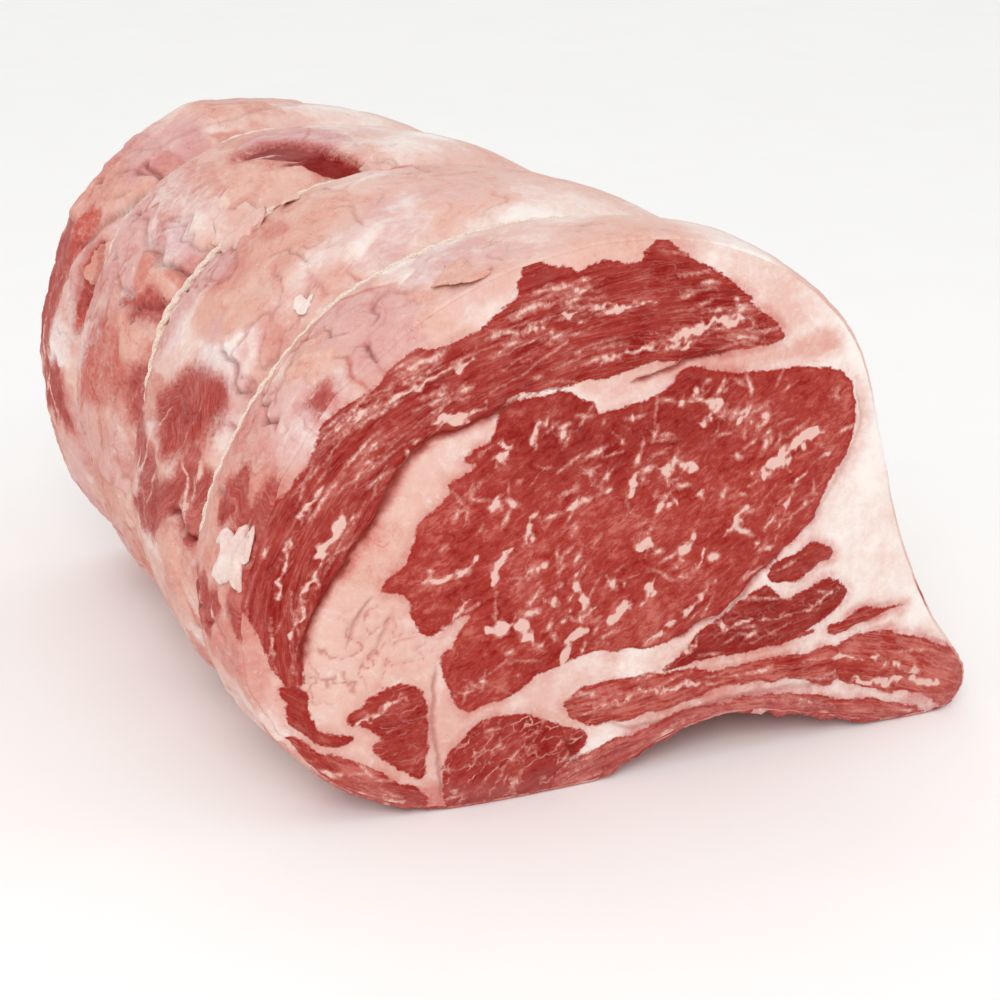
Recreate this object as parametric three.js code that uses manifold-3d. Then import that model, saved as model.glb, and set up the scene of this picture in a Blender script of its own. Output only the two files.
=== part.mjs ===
// A raw, boneless beef rib roast, tied with three loops of kitchen twine.
// Units are millimetres and +Z is up. The cut face looks along -Y, the thin lip of
// rib meat points along +X, and the whole is centred over the middle of its base.
// The muscles and the fat between them are grown together, so the meat is one solid.

import * as THREE from 'three';
import Module from 'manifold-3d';
import { mergeVertices } from 'three/addons/utils/BufferGeometryUtils.js';

// Driving dimensions of the meat.
const LENGTH = 209; // from the cut face to the far face
const FAR_ROUND = 9; // length over which the far rim rounds off
const FAR_INSET = 5; // how far that rim draws in
const FAR_CROWN = 3.5; // how far the middle of the far face stands out
const CUT_ROLL = 6; // how far the fat side of the cut face rolls back
const SWELL = 2.3; // how far the meat bulges between two ties
const PINCH_DEPTH = 5; // how deep a tie sinks below the skin of fat
const PINCH_WIDTH = 8; // half width of the groove that a tie presses in

// Driving dimensions of the twine.
const TWINE_RADIUS = 1.1;
const TWINE_GAP = 0.5; // clearance between twine and meat
const KNOT_RADIUS = 3;
const KNOT_SQUASH = 0.75; // a pulled knot is longer along the loop than across it
const TAIL_LENGTH = 12; // each clipped end of the twine
const TAIL_SPREAD = 0.6; // angle of the clipped ends to the loop, in radians
const TAIL_LIFT = 0.25; // how much the clipped ends stand off the meat

// Each tie goes once round the roast. y is its distance behind the cut face, and lean
// is how much further back it lies at the top than at the base.
const TIES = [
  { name: 'twine_near', y: 45, lean: -7 },
  { name: 'twine_middle', y: 109, lean: 3 },
  { name: 'twine_far', y: 167, lean: 10 },
];
const KNOT_HEIGHT = 67; // the knots sit at this height on the lip's side

// Sections of the meat at its two ends: x runs towards the lip and z runs up. Both go
// round the same way, from the underside of the thick lobe past the hollow where the
// ribs lay, round the lip, and back over the fat.
const CUT_SECTION = [
  [7, 0], [24, -1.5], [39.5, -1.5], [57.5, 6], [81, 12], [108.5, 6], [130.5, 0],
  [148, 0], [154, 9.5], [141, 29], [129, 54], [121.5, 79], [113.5, 104],
  [94.5, 123], [70.5, 133.5], [44.5, 136], [19, 131.5], [-4.5, 119.5], [-26, 100.5],
  [-38.5, 76.5], [-44, 51.5], [-37, 26.5], [-17, 7.5],
];
const FAR_SECTION = [
  [7, 0], [22.5, -1.5], [37, -1.5], [57, 4.5], [79, 8.5], [103, 4.5], [122, -1],
  [134, 0], [140, 10.5], [136, 31], [129, 57], [122, 81], [110, 100],
  [91, 117], [69, 129], [43, 135], [13, 136.5], [-12, 128], [-29, 109],
  [-36, 84.5], [-38, 57], [-31, 29], [-14, 10.5],
];

// Mesh densities.
const AROUND = 60; // points round each section
const CAP_RINGS = 3; // rings between a face's rim and its middle
const TWINE_SIDES = 6;
const TWINE_SPAN = 12; // longest straight stretch of a loop between two points

/** Bell curve of height 1 and the given half width. */
function bell(distance, width) {
  return Math.exp(-((distance / width) ** 2));
}

/** The section at a distance y behind the cut face, before ties and swelling. */
function plainSection(y) {
  const blend = THREE.MathUtils.smoothstep(y, 0, LENGTH);
  const controls = CUT_SECTION.map((near, i) => {
    const x = THREE.MathUtils.lerp(near[0], FAR_SECTION[i][0], blend);
    const z = THREE.MathUtils.lerp(near[1], FAR_SECTION[i][1], blend);
    return new THREE.Vector3(x, 0, z);
  });
  const outline = new THREE.CatmullRomCurve3(controls, true, 'centripetal');
  return Array.from({ length: AROUND }, (_, i) => outline.getPoint(i / AROUND));
}

/** How far the skin lies outside the plain section, or inside it where negative. */
function skinOffset(y) {
  const stops = [0, ...TIES.map((tie) => tie.y), LENGTH];
  const next = Math.max(1, stops.findIndex((stop) => stop >= y));
  const along = (y - stops[next - 1]) / (stops[next] - stops[next - 1]);
  const swell = SWELL * Math.sin(Math.PI * along);
  const pinch = TIES.reduce((sum, tie) => sum + PINCH_DEPTH * bell(y - tie.y, PINCH_WIDTH), 0);
  const intoRound = Math.max(0, (y - LENGTH + FAR_ROUND) / FAR_ROUND);
  const inset = FAR_INSET * (1 - Math.sqrt(Math.max(0, 1 - intoRound ** 2)));
  return swell - pinch - inset;
}

/** How much further back the top of a section lies than its base. */
function leanAt(y) {
  const stops = [{ y: 0, lean: 0 }, ...TIES, { y: LENGTH, lean: 0 }];
  const next = Math.max(1, stops.findIndex((stop) => stop.y >= y));
  const [from, to] = [stops[next - 1], stops[next]];
  return THREE.MathUtils.mapLinear(y, from.y, to.y, from.lean, to.lean);
}

/** Distance behind the cut face of a point that belongs to section y. */
function placeAlong(y, point, height) {
  const up = THREE.MathUtils.clamp(point.z / height, 0, 1);
  const fatSide = THREE.MathUtils.smoothstep(-point.x, -26, 43);
  return y + leanAt(y) * (up - 0.5) + CUT_ROLL * fatSide * bell(y, LENGTH / 6);
}

/** Outward unit normal of the edge between two points of an outline in the XZ plane. */
function edgeNormal(from, to) {
  const along = to.clone().sub(from).normalize();
  return new THREE.Vector3(along.z, 0, -along.x);
}

/** A closed outline whose edges are all moved outwards by a distance. */
function offsetOutline(points, distance) {
  return points.map((point, i) => {
    const before = points[(i + points.length - 1) % points.length];
    const after = points[(i + 1) % points.length];
    const normal = edgeNormal(before, point);
    const out = normal.clone().add(edgeNormal(point, after)).normalize();
    return point.clone().addScaledVector(out, distance / out.dot(normal));
  });
}

/** One ring of the meat's skin, leaned, and flat where it lies on the table. */
function skinRing(y) {
  const plain = plainSection(y);
  const height = Math.max(...plain.map((point) => point.z));
  return offsetOutline(plain, skinOffset(y)).map((point) => {
    return new THREE.Vector3(point.x, placeAlong(y, point, height), Math.max(point.z, 0));
  });
}

/** Distances behind the cut face at which the skin has a ring. */
function ringStations() {
  const stations = [0, 3, 8, 17, 77, 138, LENGTH - FAR_ROUND - 7];
  for (const tie of TIES) {
    for (const step of [1.1, 3, 5.5, 8.5, 13, 19]) {
      stations.push(tie.y - step, tie.y + step);
    }
  }
  for (const share of [0, 0.35, 0.65, 0.85, 0.96, 1]) {
    stations.push(LENGTH - FAR_ROUND * (1 - share));
  }
  return stations.sort((a, b) => a - b);
}

/** Rings that close a face, from next to its rim to next to its middle. */
function capRings(rim, crown) {
  const middle = rim.reduce((sum, point) => sum.add(point), new THREE.Vector3());
  middle.divideScalar(rim.length);
  const rings = Array.from({ length: CAP_RINGS }, (_, i) => {
    const share = 1 - (i + 1) / (CAP_RINGS + 1);
    return rim.map((point) => {
      const inner = middle.clone().lerp(point, share);
      inner.y += crown * (1 - share ** 2);
      return inner;
    });
  });
  middle.y += crown;
  return { rings, middle };
}

/** Triangles between each ring and the next, the last joined to the first if closed. */
function bandIndex(ringCount, around, closed) {
  const index = [];
  const at = (ring, i) => (ring % ringCount) * around + (i % around);
  for (let ring = 1; ring < ringCount + (closed ? 1 : 0); ring += 1) {
    for (let i = 0; i < around; i += 1) {
      index.push(at(ring - 1, i), at(ring, i), at(ring, i + 1));
      index.push(at(ring - 1, i), at(ring, i + 1), at(ring - 1, i + 1));
    }
  }
  return index;
}

/** An indexed geometry from points and triangles. */
function solidGeometry(points, index) {
  const geometry = new THREE.BufferGeometry();
  const positions = points.flatMap((point) => point.toArray());
  geometry.setAttribute('position', new THREE.Float32BufferAttribute(positions, 3));
  geometry.setIndex(index);
  return geometry;
}

/** The meat: a skin of rings, closed by the cut face and the far face. */
function meatGeometry() {
  const skin = ringStations().map(skinRing);
  const cut = capRings(skin[0], 0);
  const far = capRings(skin[skin.length - 1], FAR_CROWN);
  const rings = [...cut.rings.reverse(), ...skin, ...far.rings];
  const points = [...rings.flat(), cut.middle, far.middle];
  const index = bandIndex(rings.length, AROUND, false);
  const cutMiddle = points.length - 2;
  const farMiddle = points.length - 1;
  const lastRing = (rings.length - 1) * AROUND;
  for (let i = 0; i < AROUND; i += 1) {
    const next = (i + 1) % AROUND;
    index.push(cutMiddle, i, next);
    index.push(farMiddle, lastRing + next, lastRing + i);
  }
  return solidGeometry(points, index);
}

/** Convex outline round points in the XZ plane: the way a taut string lies. */
function tautOutline(points) {
  const sorted = [...points].sort((a, b) => a.x - b.x || a.z - b.z);
  const half = (list) => {
    const chain = [];
    for (const point of list) {
      while (chain.length > 1) {
        const [before, last] = chain.slice(-2);
        const turn = (last.x - before.x) * (point.z - before.z)
          - (last.z - before.z) * (point.x - before.x);
        if (turn > 0) {
          break;
        }
        chain.pop();
      }
      chain.push(point);
    }
    return chain.slice(0, -1);
  };
  return [...half(sorted), ...half(sorted.reverse())];
}

/** The corners of a tie's loop, which lies taut in the groove that it presses. */
function loopPoints(tie) {
  const height = Math.max(...plainSection(tie.y).map((point) => point.z));
  const taut = offsetOutline(tautOutline(skinRing(tie.y)), TWINE_RADIUS + TWINE_GAP);
  return taut.flatMap((point, i) => {
    const next = taut[(i + 1) % taut.length];
    const pieces = Math.ceil(Math.hypot(next.x - point.x, next.z - point.z) / TWINE_SPAN);
    return Array.from({ length: pieces }, (_, k) => point.clone().lerp(next, k / pieces));
  }).map((point) => point.setY(placeAlong(tie.y, point, height)));
}

/** Unit direction of a loop at one of its points. */
function loopTangent(points, i) {
  const before = points[(i + points.length - 1) % points.length];
  const after = points[(i + 1) % points.length];
  return after.clone().sub(before).normalize();
}

/** The closed tube round a loop's middle line. */
function loopGeometry(points) {
  const rings = points.map((middle, i) => {
    const along = loopTangent(points, i);
    const across = new THREE.Vector3(0, 1, 0).projectOnPlane(along).normalize();
    const out = new THREE.Vector3().crossVectors(across, along);
    return Array.from({ length: TWINE_SIDES }, (_, side) => {
      const angle = (-2 * Math.PI * side) / TWINE_SIDES;
      return middle.clone()
        .addScaledVector(out, TWINE_RADIUS * Math.cos(angle))
        .addScaledVector(across, TWINE_RADIUS * Math.sin(angle));
    });
  });
  return solidGeometry(rings.flat(), bandIndex(rings.length, TWINE_SIDES, true));
}

/** Turns a closed geometry into a solid that can be joined to others. */
function toSolid(wasm, geometry) {
  const plain = geometry.clone();
  plain.deleteAttribute('normal');
  plain.deleteAttribute('uv');
  const merged = mergeVertices(plain);
  return new wasm.Manifold(new wasm.Mesh({
    numProp: 3,
    vertProperties: new Float32Array(merged.attributes.position.array),
    triVerts: new Uint32Array(merged.index.array),
  }));
}

/** Turns a solid back into a geometry. */
function fromSolid(solid) {
  const { vertProperties, triVerts } = solid.getMesh();
  const geometry = new THREE.BufferGeometry();
  geometry.setAttribute('position', new THREE.BufferAttribute(vertProperties, 3));
  geometry.setIndex(new THREE.BufferAttribute(triVerts, 1));
  return geometry;
}

/** The point of a loop where its knot sits: at knot height on the lip's side. */
function knotIndex(points) {
  const middleX = points.reduce((sum, point) => sum + point.x, 0) / points.length;
  const miss = points.map((point) => {
    return point.x > middleX ? Math.abs(point.z - KNOT_HEIGHT) : Infinity;
  });
  return miss.indexOf(Math.min(...miss));
}

/** A turn from one direction to another. */
function turn(from, to) {
  return new THREE.Quaternion().setFromUnitVectors(from, to);
}

/** The knot of a loop and its two clipped ends, as closed geometries. */
function knotGeometries(points) {
  const at = knotIndex(points);
  const along = loopTangent(points, at);
  const out = new THREE.Vector3(along.z, 0, -along.x).normalize();
  const lift = KNOT_RADIUS * KNOT_SQUASH - TWINE_RADIUS;
  const middle = points[at].clone().addScaledVector(out, lift);
  const knot = new THREE.SphereGeometry(KNOT_RADIUS, 10, 6);
  knot.scale(KNOT_SQUASH, KNOT_SQUASH, 1);
  knot.applyQuaternion(turn(new THREE.Vector3(0, 0, 1), along));
  knot.translate(...middle.toArray());
  const tails = [-1, 1].map((side) => {
    const way = along.clone().multiplyScalar(-Math.cos(TAIL_SPREAD));
    way.addScaledVector(new THREE.Vector3(0, side, 0), Math.sin(TAIL_SPREAD));
    way.addScaledVector(out, TAIL_LIFT).normalize();
    const tail = new THREE.CylinderGeometry(TWINE_RADIUS, TWINE_RADIUS, TAIL_LENGTH, TWINE_SIDES);
    tail.translate(0, TAIL_LENGTH / 2, 0);
    tail.applyQuaternion(turn(new THREE.Vector3(0, 1, 0), way));
    tail.translate(...middle.toArray());
    return tail;
  });
  return [knot, ...tails];
}

/** One tie: its loop, knot and clipped ends joined into one solid. */
function tieGeometry(wasm, tie) {
  const points = loopPoints(tie);
  const loop = toSolid(wasm, loopGeometry(points));
  const tied = knotGeometries(points).reduce((solid, part) => solid.add(toSolid(wasm, part)), loop);
  return fromSolid(tied);
}

/** A named mesh with a material of its own. */
function namedMesh(name, geometry, color, roughness) {
  geometry.computeVertexNormals();
  const material = new THREE.MeshStandardMaterial({ color, roughness, metalness: 0 });
  const mesh = new THREE.Mesh(geometry, material);
  mesh.name = name;
  return mesh;
}

const wasm = await Module();
wasm.setup();

const group = new THREE.Group();
group.add(namedMesh('roast', meatGeometry(), 0xc9706a, 0.5));
for (const tie of TIES) {
  group.add(namedMesh(tie.name, tieGeometry(wasm, tie), 0xe2d6bf, 0.9));
}

// Centre the whole over the middle of its base.
const box = new THREE.Box3().setFromObject(group);
const middle = box.getCenter(new THREE.Vector3());
group.position.set(-middle.x, -middle.y, -box.min.z);

export default group;
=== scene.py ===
"""A raw, boneless beef rib roast, tied with three loops of kitchen twine.

Lengths are millimetres until a mesh is made, and metres from there on. The cut face looks
along -Y, the thin lip of rib meat points along +X, and the table is at height 0. Places on
the skin are written as (angle, distance): the angle in degrees round the middle of the
section, 0 towards the lip, 90 at the top and 180 at the thick lobe's side, and the distance
behind the cut face.
"""

import logging
import math
from dataclasses import dataclass
from enum import Enum
from typing import Optional, Sequence

import bpy
import numpy as np
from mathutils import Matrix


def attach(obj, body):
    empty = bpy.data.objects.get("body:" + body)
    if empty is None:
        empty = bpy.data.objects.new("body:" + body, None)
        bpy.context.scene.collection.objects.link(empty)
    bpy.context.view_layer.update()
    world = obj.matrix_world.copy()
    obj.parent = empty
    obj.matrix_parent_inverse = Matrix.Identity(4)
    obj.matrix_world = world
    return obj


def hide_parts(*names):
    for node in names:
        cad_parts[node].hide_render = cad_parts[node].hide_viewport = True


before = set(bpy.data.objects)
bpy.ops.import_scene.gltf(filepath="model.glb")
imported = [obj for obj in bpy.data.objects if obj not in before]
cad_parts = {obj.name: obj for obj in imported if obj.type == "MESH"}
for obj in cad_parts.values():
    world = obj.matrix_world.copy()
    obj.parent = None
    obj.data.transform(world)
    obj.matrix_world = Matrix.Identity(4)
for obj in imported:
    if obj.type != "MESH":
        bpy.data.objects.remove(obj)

log = logging.getLogger("roast")

MM = 0.001
Array = np.ndarray
Spots = Sequence[tuple[float, float]]


def smooth(value: Array, low: float, high: float) -> Array:
    """A soft step from 0 at low to 1 at high."""
    share = np.clip((value - low) / (high - low), 0.0, 1.0)
    return share * share * (3.0 - 2.0 * share)


def bell(value: Array, width: float) -> Array:
    """A bell curve of height 1 and the given half width."""
    return np.exp(-((value / width) ** 2))


def soften(values: Array, reach: float, axis: int, wrap: bool) -> Array:
    """Smooths a grid along one axis.

    Args:
        values: The grid.
        reach: Spread of the smoothing, in grid steps.
        axis: The axis to smooth along.
        wrap: Whether the last value lies next to the first.

    Returns:
        The smoothed grid, with open ends kept in place.
    """
    span = int(math.ceil(3 * reach))
    moved = np.moveaxis(values, axis, 0)
    if wrap:
        padded = np.concatenate([moved[-span:], moved, moved[:span]])
    else:
        head = 2 * moved[:1] - moved[span:0:-1]
        tail = 2 * moved[-1:] - moved[-2 : -span - 2 : -1]
        padded = np.concatenate([head, moved, tail])
    weights = bell(np.arange(-span, span + 1), reach * math.sqrt(2))
    weights /= weights.sum()
    result = sum(w * padded[k : k + len(moved)] for k, w in enumerate(weights))
    return np.moveaxis(result, 0, axis)


def curve(points: Array, closed: bool, steps: int = 8) -> Array:
    """A smooth line through points.

    Args:
        points: The points, one a row.
        closed: Whether the line comes back to its start.
        steps: Pieces between two points.

    Returns:
        Points along the line.
    """
    given = np.asarray(points, float)
    count = len(given)
    index = np.arange(count if closed else count - 1)

    def at(offset: int) -> Array:
        """The given points, moved along by an offset."""
        spots = index + offset
        return given[spots % count if closed else np.clip(spots, 0, count - 1)][:, None]

    a, b, c, d = at(-1), at(0), at(1), at(2)
    t = np.linspace(0, 1, steps, endpoint=False)[None, :, None]
    line = 2 * b + (c - a) * t + (2 * a - 5 * b + 4 * c - d) * t**2
    line = 0.5 * (line + (3 * b - a - 3 * c + d) * t**3)
    line = line.reshape(-1, given.shape[1])
    return line if closed else np.vstack([line, given[-1:]])


def resample(line: Array, count: int) -> Array:
    """The given number of evenly spaced points along an open line."""
    run = np.r_[0, np.cumsum(np.linalg.norm(np.diff(line, axis=0), axis=1))]
    wanted = np.linspace(0, run[-1], count)
    return np.stack([np.interp(wanted, run, line[:, k]) for k in range(line.shape[1])], -1)


class Clouds:
    """Smooth random values in space, the same each time."""

    CELLS = 48

    def __init__(self, seed: int) -> None:
        shape = (self.CELLS,) * 3
        self.table = np.random.default_rng(seed).uniform(-1, 1, shape).astype(np.float32)

    def value(self, place: Array, size: float) -> Array:
        """Values between -1 and 1 that change over a given size."""
        cell = place / size
        low = np.floor(cell).astype(np.int64)
        part = cell - low
        part = part * part * (3 - 2 * part)
        low %= self.CELLS
        high = (low + 1) % self.CELLS
        total = 0.0
        for corner in range(8):
            pick = [(corner >> axis) & 1 for axis in range(3)]
            index = tuple(np.where(pick[k], high[..., k], low[..., k]) for k in range(3))
            weight = 1.0
            for axis in range(3):
                share = part[..., axis]
                weight = weight * (share if pick[axis] else 1 - share)
            total = total + self.table[index] * weight
        return total

    def fractal(self, place: Array, size: float, octaves: int = 3) -> Array:
        """Values that change over a size and its halves."""
        total, weight = 0.0, 1.0
        for octave in range(octaves):
            total = total + weight * self.value(place + 7.3 * octave, size / 2**octave)
            weight *= 0.5
        return total


def in_space(flat: Array, layer: float) -> Array:
    """Turns flat places into places in space, at a given layer."""
    return np.concatenate([flat, np.full(flat.shape[:-1] + (1,), layer)], -1)


class Canvas:
    """A sheet of surface points that outlines and strokes are drawn on."""

    def __init__(self, flat: Array) -> None:
        self.flat = flat

    def _near(self, line: Array, reach: float) -> Array:
        """Which points lie in the box round a line, widened by a reach."""
        low, high = line.min(0) - reach, line.max(0) + reach
        return np.all((self.flat > low) & (self.flat < high), axis=-1)

    def stroke(self, spots: Array, reach: float, closed: bool = False) -> tuple[Array, ...]:
        """Measures the sheet against a line.

        Args:
            spots: Points that the smooth line goes through.
            reach: Distance beyond which nothing is measured.
            closed: Whether the line comes back to its start.

        Returns:
            For each point the distance to the line, the length along the line, its side
            (1 to the left, -1 to the right), and whether a closed line holds it.
        """
        line = curve(spots, closed)
        mask = self._near(line, reach)
        here = self.flat[mask]
        best = np.full(len(here), reach**2)
        along, side = np.zeros(len(here)), np.ones(len(here))
        inside = np.zeros(len(here), bool)
        run = 0.0
        for start, end in zip(line, np.roll(line, -1, 0) if closed else line[1:]):
            step = end - start
            length = max(float(np.hypot(*step)), 1e-6)
            offset = here - start
            share = np.clip(offset @ step / length**2, 0, 1)
            gap = offset - share[:, None] * step
            square = (gap**2).sum(1)
            closer = square < best
            best[closer] = square[closer]
            along[closer] = run + share[closer] * length
            side[closer] = np.sign(step[0] * offset[closer, 1] - step[1] * offset[closer, 0])
            rises = (start[1] > here[:, 1]) != (end[1] > here[:, 1])
            slope = step[0] / (step[1] if abs(step[1]) > 1e-9 else 1e-9)
            inside ^= rises & (offset[:, 0] < slope * offset[:, 1])
            run += length
        shape = self.flat.shape[:-1]
        results = []
        for values, empty in ((np.sqrt(best), reach), (along, 0.0), (side, 1.0), (inside, 0)):
            full = np.full(shape, empty, float)
            full[mask] = values
            results.append(full)
        return tuple(results)

    def inside(self, outline: Array, reach: float = 14.0) -> Array:
        """How far each point lies inside an outline, negative outside it."""
        gap, _, _, held = self.stroke(outline, reach, closed=True)
        return np.where(held > 0.5, gap, -gap)


def patchwork(flat: Array, span: float, seed: int) -> tuple[Array, Array]:
    """Irregular cells over a sheet of points.

    Args:
        flat: The points.
        span: Usual width of a cell.
        seed: Seed of the cells.

    Returns:
        Three numbers of each point's cell, from 0 to 1, and how far the cell's edge is.
    """
    low = flat.min((0, 1)) - 2 * span
    count = np.ceil((flat.max((0, 1)) - low) / span).astype(int) + 3
    cells = np.random.default_rng(seed).random((*count, 5))
    at = (flat - low) / span
    corner = np.floor(at).astype(int)
    best = np.full(flat.shape[:-1], 9.0)
    second = best.copy()
    picked = np.zeros((*flat.shape[:-1], 3))
    for shift in np.ndindex(3, 3):
        index = corner + shift - 1
        cell = cells[index[..., 0], index[..., 1]]
        gap = np.linalg.norm(index + cell[..., :2] - at, axis=-1)
        closer = gap < best
        second = np.where(closer, best, np.minimum(second, gap))
        best = np.where(closer, gap, best)
        picked[closer] = cell[..., 2:][closer]
    return picked, (second - best) * span / 2


@dataclass
class Looks:
    """What the meat is made of at each surface point.

    lean is the distance inside the lean, in mm, negative in the fat. soft is the width over
    which lean turns to fat. grain holds the place along and across the fibres. The others
    run from 0 to 1.
    """

    lean: Array
    soft: Array
    grain: Array
    tone: Array
    streak: Array
    marble: Array
    net: Array
    fleck: Array
    peach: Array
    lilac: Array
    blush: Array
    # Painted shade in seams, creases and cracks, from 0 to 1.
    crevice_shade: Array

    @classmethod
    def plain(cls, shape: tuple[int, ...]) -> "Looks":
        """Cream fat all over."""
        values = {name: np.zeros(shape) for name in cls.__dataclass_fields__}
        values["lean"] -= 14.0
        values["fleck"] -= 5.0
        values["soft"] += 0.25
        values["grain"] = np.zeros(shape + (3,))
        return cls(**values)

    def pick(self, rows: Array) -> "Looks":
        """The same looks at some of the rows."""
        return Looks(**{name: values[rows] for name, values in vars(self).items()})

    def fields(self, extra: int) -> dict[str, Array]:
        """Flat lists for a mesh that has extra points behind the sheet."""
        result = {}
        for name, values in vars(self).items():
            flat = values.reshape((-1, 3) if name == "grain" else (-1,))
            result[name] = np.concatenate([flat, np.repeat(flat[-1:], extra, 0)])
        return result


def make_mesh(
    name: str,
    points: Array,
    faces: Array,
    fields: dict[str, Array],
    sharp: Optional[Array] = None,
) -> bpy.types.Object:
    """Makes an object from points in mm.

    Args:
        name: Name of the object.
        points: The points, in mm.
        faces: Point numbers of each face; a row ending in -1 is a triangle.
        fields: Values to keep at each point.
        sharp: Which points lie on a hard edge.

    Returns:
        The object, smooth shaded.
    """
    mesh = bpy.data.meshes.new(name)
    listed = [face[:3] if face[3] < 0 else face for face in faces.tolist()]
    mesh.from_pydata((points * MM).tolist(), [], listed)
    for key, values in fields.items():
        kind = "FLOAT_VECTOR" if values.ndim == 2 else "FLOAT"
        slot = mesh.attributes.new(key, kind, "POINT")
        slot.data.foreach_set("vector" if kind == "FLOAT_VECTOR" else "value", values.ravel())
    mesh.shade_smooth()
    if sharp is not None:
        ends = np.zeros(len(mesh.edges) * 2, np.int32)
        mesh.edges.foreach_get("vertices", ends)
        hard = sharp[ends].reshape(-1, 2).all(1)
        mesh.attributes.new("sharp_edge", "BOOLEAN", "EDGE").data.foreach_set("value", hard)
    thing = bpy.data.objects.new(name, mesh)
    bpy.context.scene.collection.objects.link(thing)
    return thing


def sheet_faces(rows: int, columns: int, wrap: bool) -> Array:
    """Four-sided faces of a sheet of points."""
    last = columns if wrap else columns - 1
    row, column = np.meshgrid(np.arange(rows - 1), np.arange(last), indexing="ij")
    beside = (column + 1) % columns
    corners = (row, column), (row, beside), (row + 1, beside), (row + 1, column)
    return np.stack([r * columns + c for r, c in corners], -1).reshape(-1, 4)


def fan_faces(loop: Array, middle: int) -> Array:
    """Triangles that close a loop of points at its middle point."""
    beside = np.roll(loop, -1)
    return np.stack([loop, beside, np.full(len(loop), middle), np.full(len(loop), -1)], -1)


def turned(faces: Array) -> Array:
    """The same faces, looking the other way."""
    return np.where(faces[:, 3:] < 0, faces[:, [1, 0, 2, 3]], faces[:, ::-1])


def closed_sheet(sheet: Array, middles: Array) -> tuple[Array, Array]:
    """Closes a sheet of rings at its first and last ring.

    Args:
        sheet: The rings of points.
        middles: The point that closes the first ring, and the one that closes the last.

    Returns:
        Every point, and the faces, which look outwards.
    """
    rows, around = sheet.shape[:2]
    every = np.concatenate([sheet.reshape(-1, 3), middles])
    first = np.arange(around)
    start = turned(fan_faces(first, len(every) - 2))
    end = fan_faces(first + (rows - 1) * around, len(every) - 1)
    faces = np.concatenate([sheet_faces(rows, around, True), start, end])
    a, b, c = (every[faces[:, k]] for k in range(3))
    held = np.einsum("ij,ij->i", a - every.mean(0), np.cross(b - a, c - a)).sum()
    return every, turned(faces) if held < 0 else faces


# ---------------------------------------------------------------------------------------
# The plain form of the roast
# ---------------------------------------------------------------------------------------


@dataclass(frozen=True)
class Tie:
    """One loop of twine: where it lies, and how much further back its top lies."""

    node: str
    distance: float
    lean: float
    buried: tuple[tuple[float, float], ...] = ()


TIES = (
    Tie("twine_near", 45, -7),
    Tie("twine_middle", 109, 3, ((172, 214), (62, 108))),
    Tie("twine_far", 167, 10, ((60, 92), (120, 138), (190, 214))),
)


@dataclass(frozen=True)
class FormSize:
    """Sizes of the roast, in mm, and of the grid of points on its skin."""

    length: float = 209.0
    height: float = 136.0
    roll: float = 6.0
    roll_from: float = 29.0
    roll_to: float = 98.0
    roll_depth: float = 34.8
    middle: tuple[float, float] = (-10.0, 65.0)
    start_angle: float = -25.0
    columns: int = 880
    row_step: float = 0.68
    first_level: float = 3.0


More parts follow.
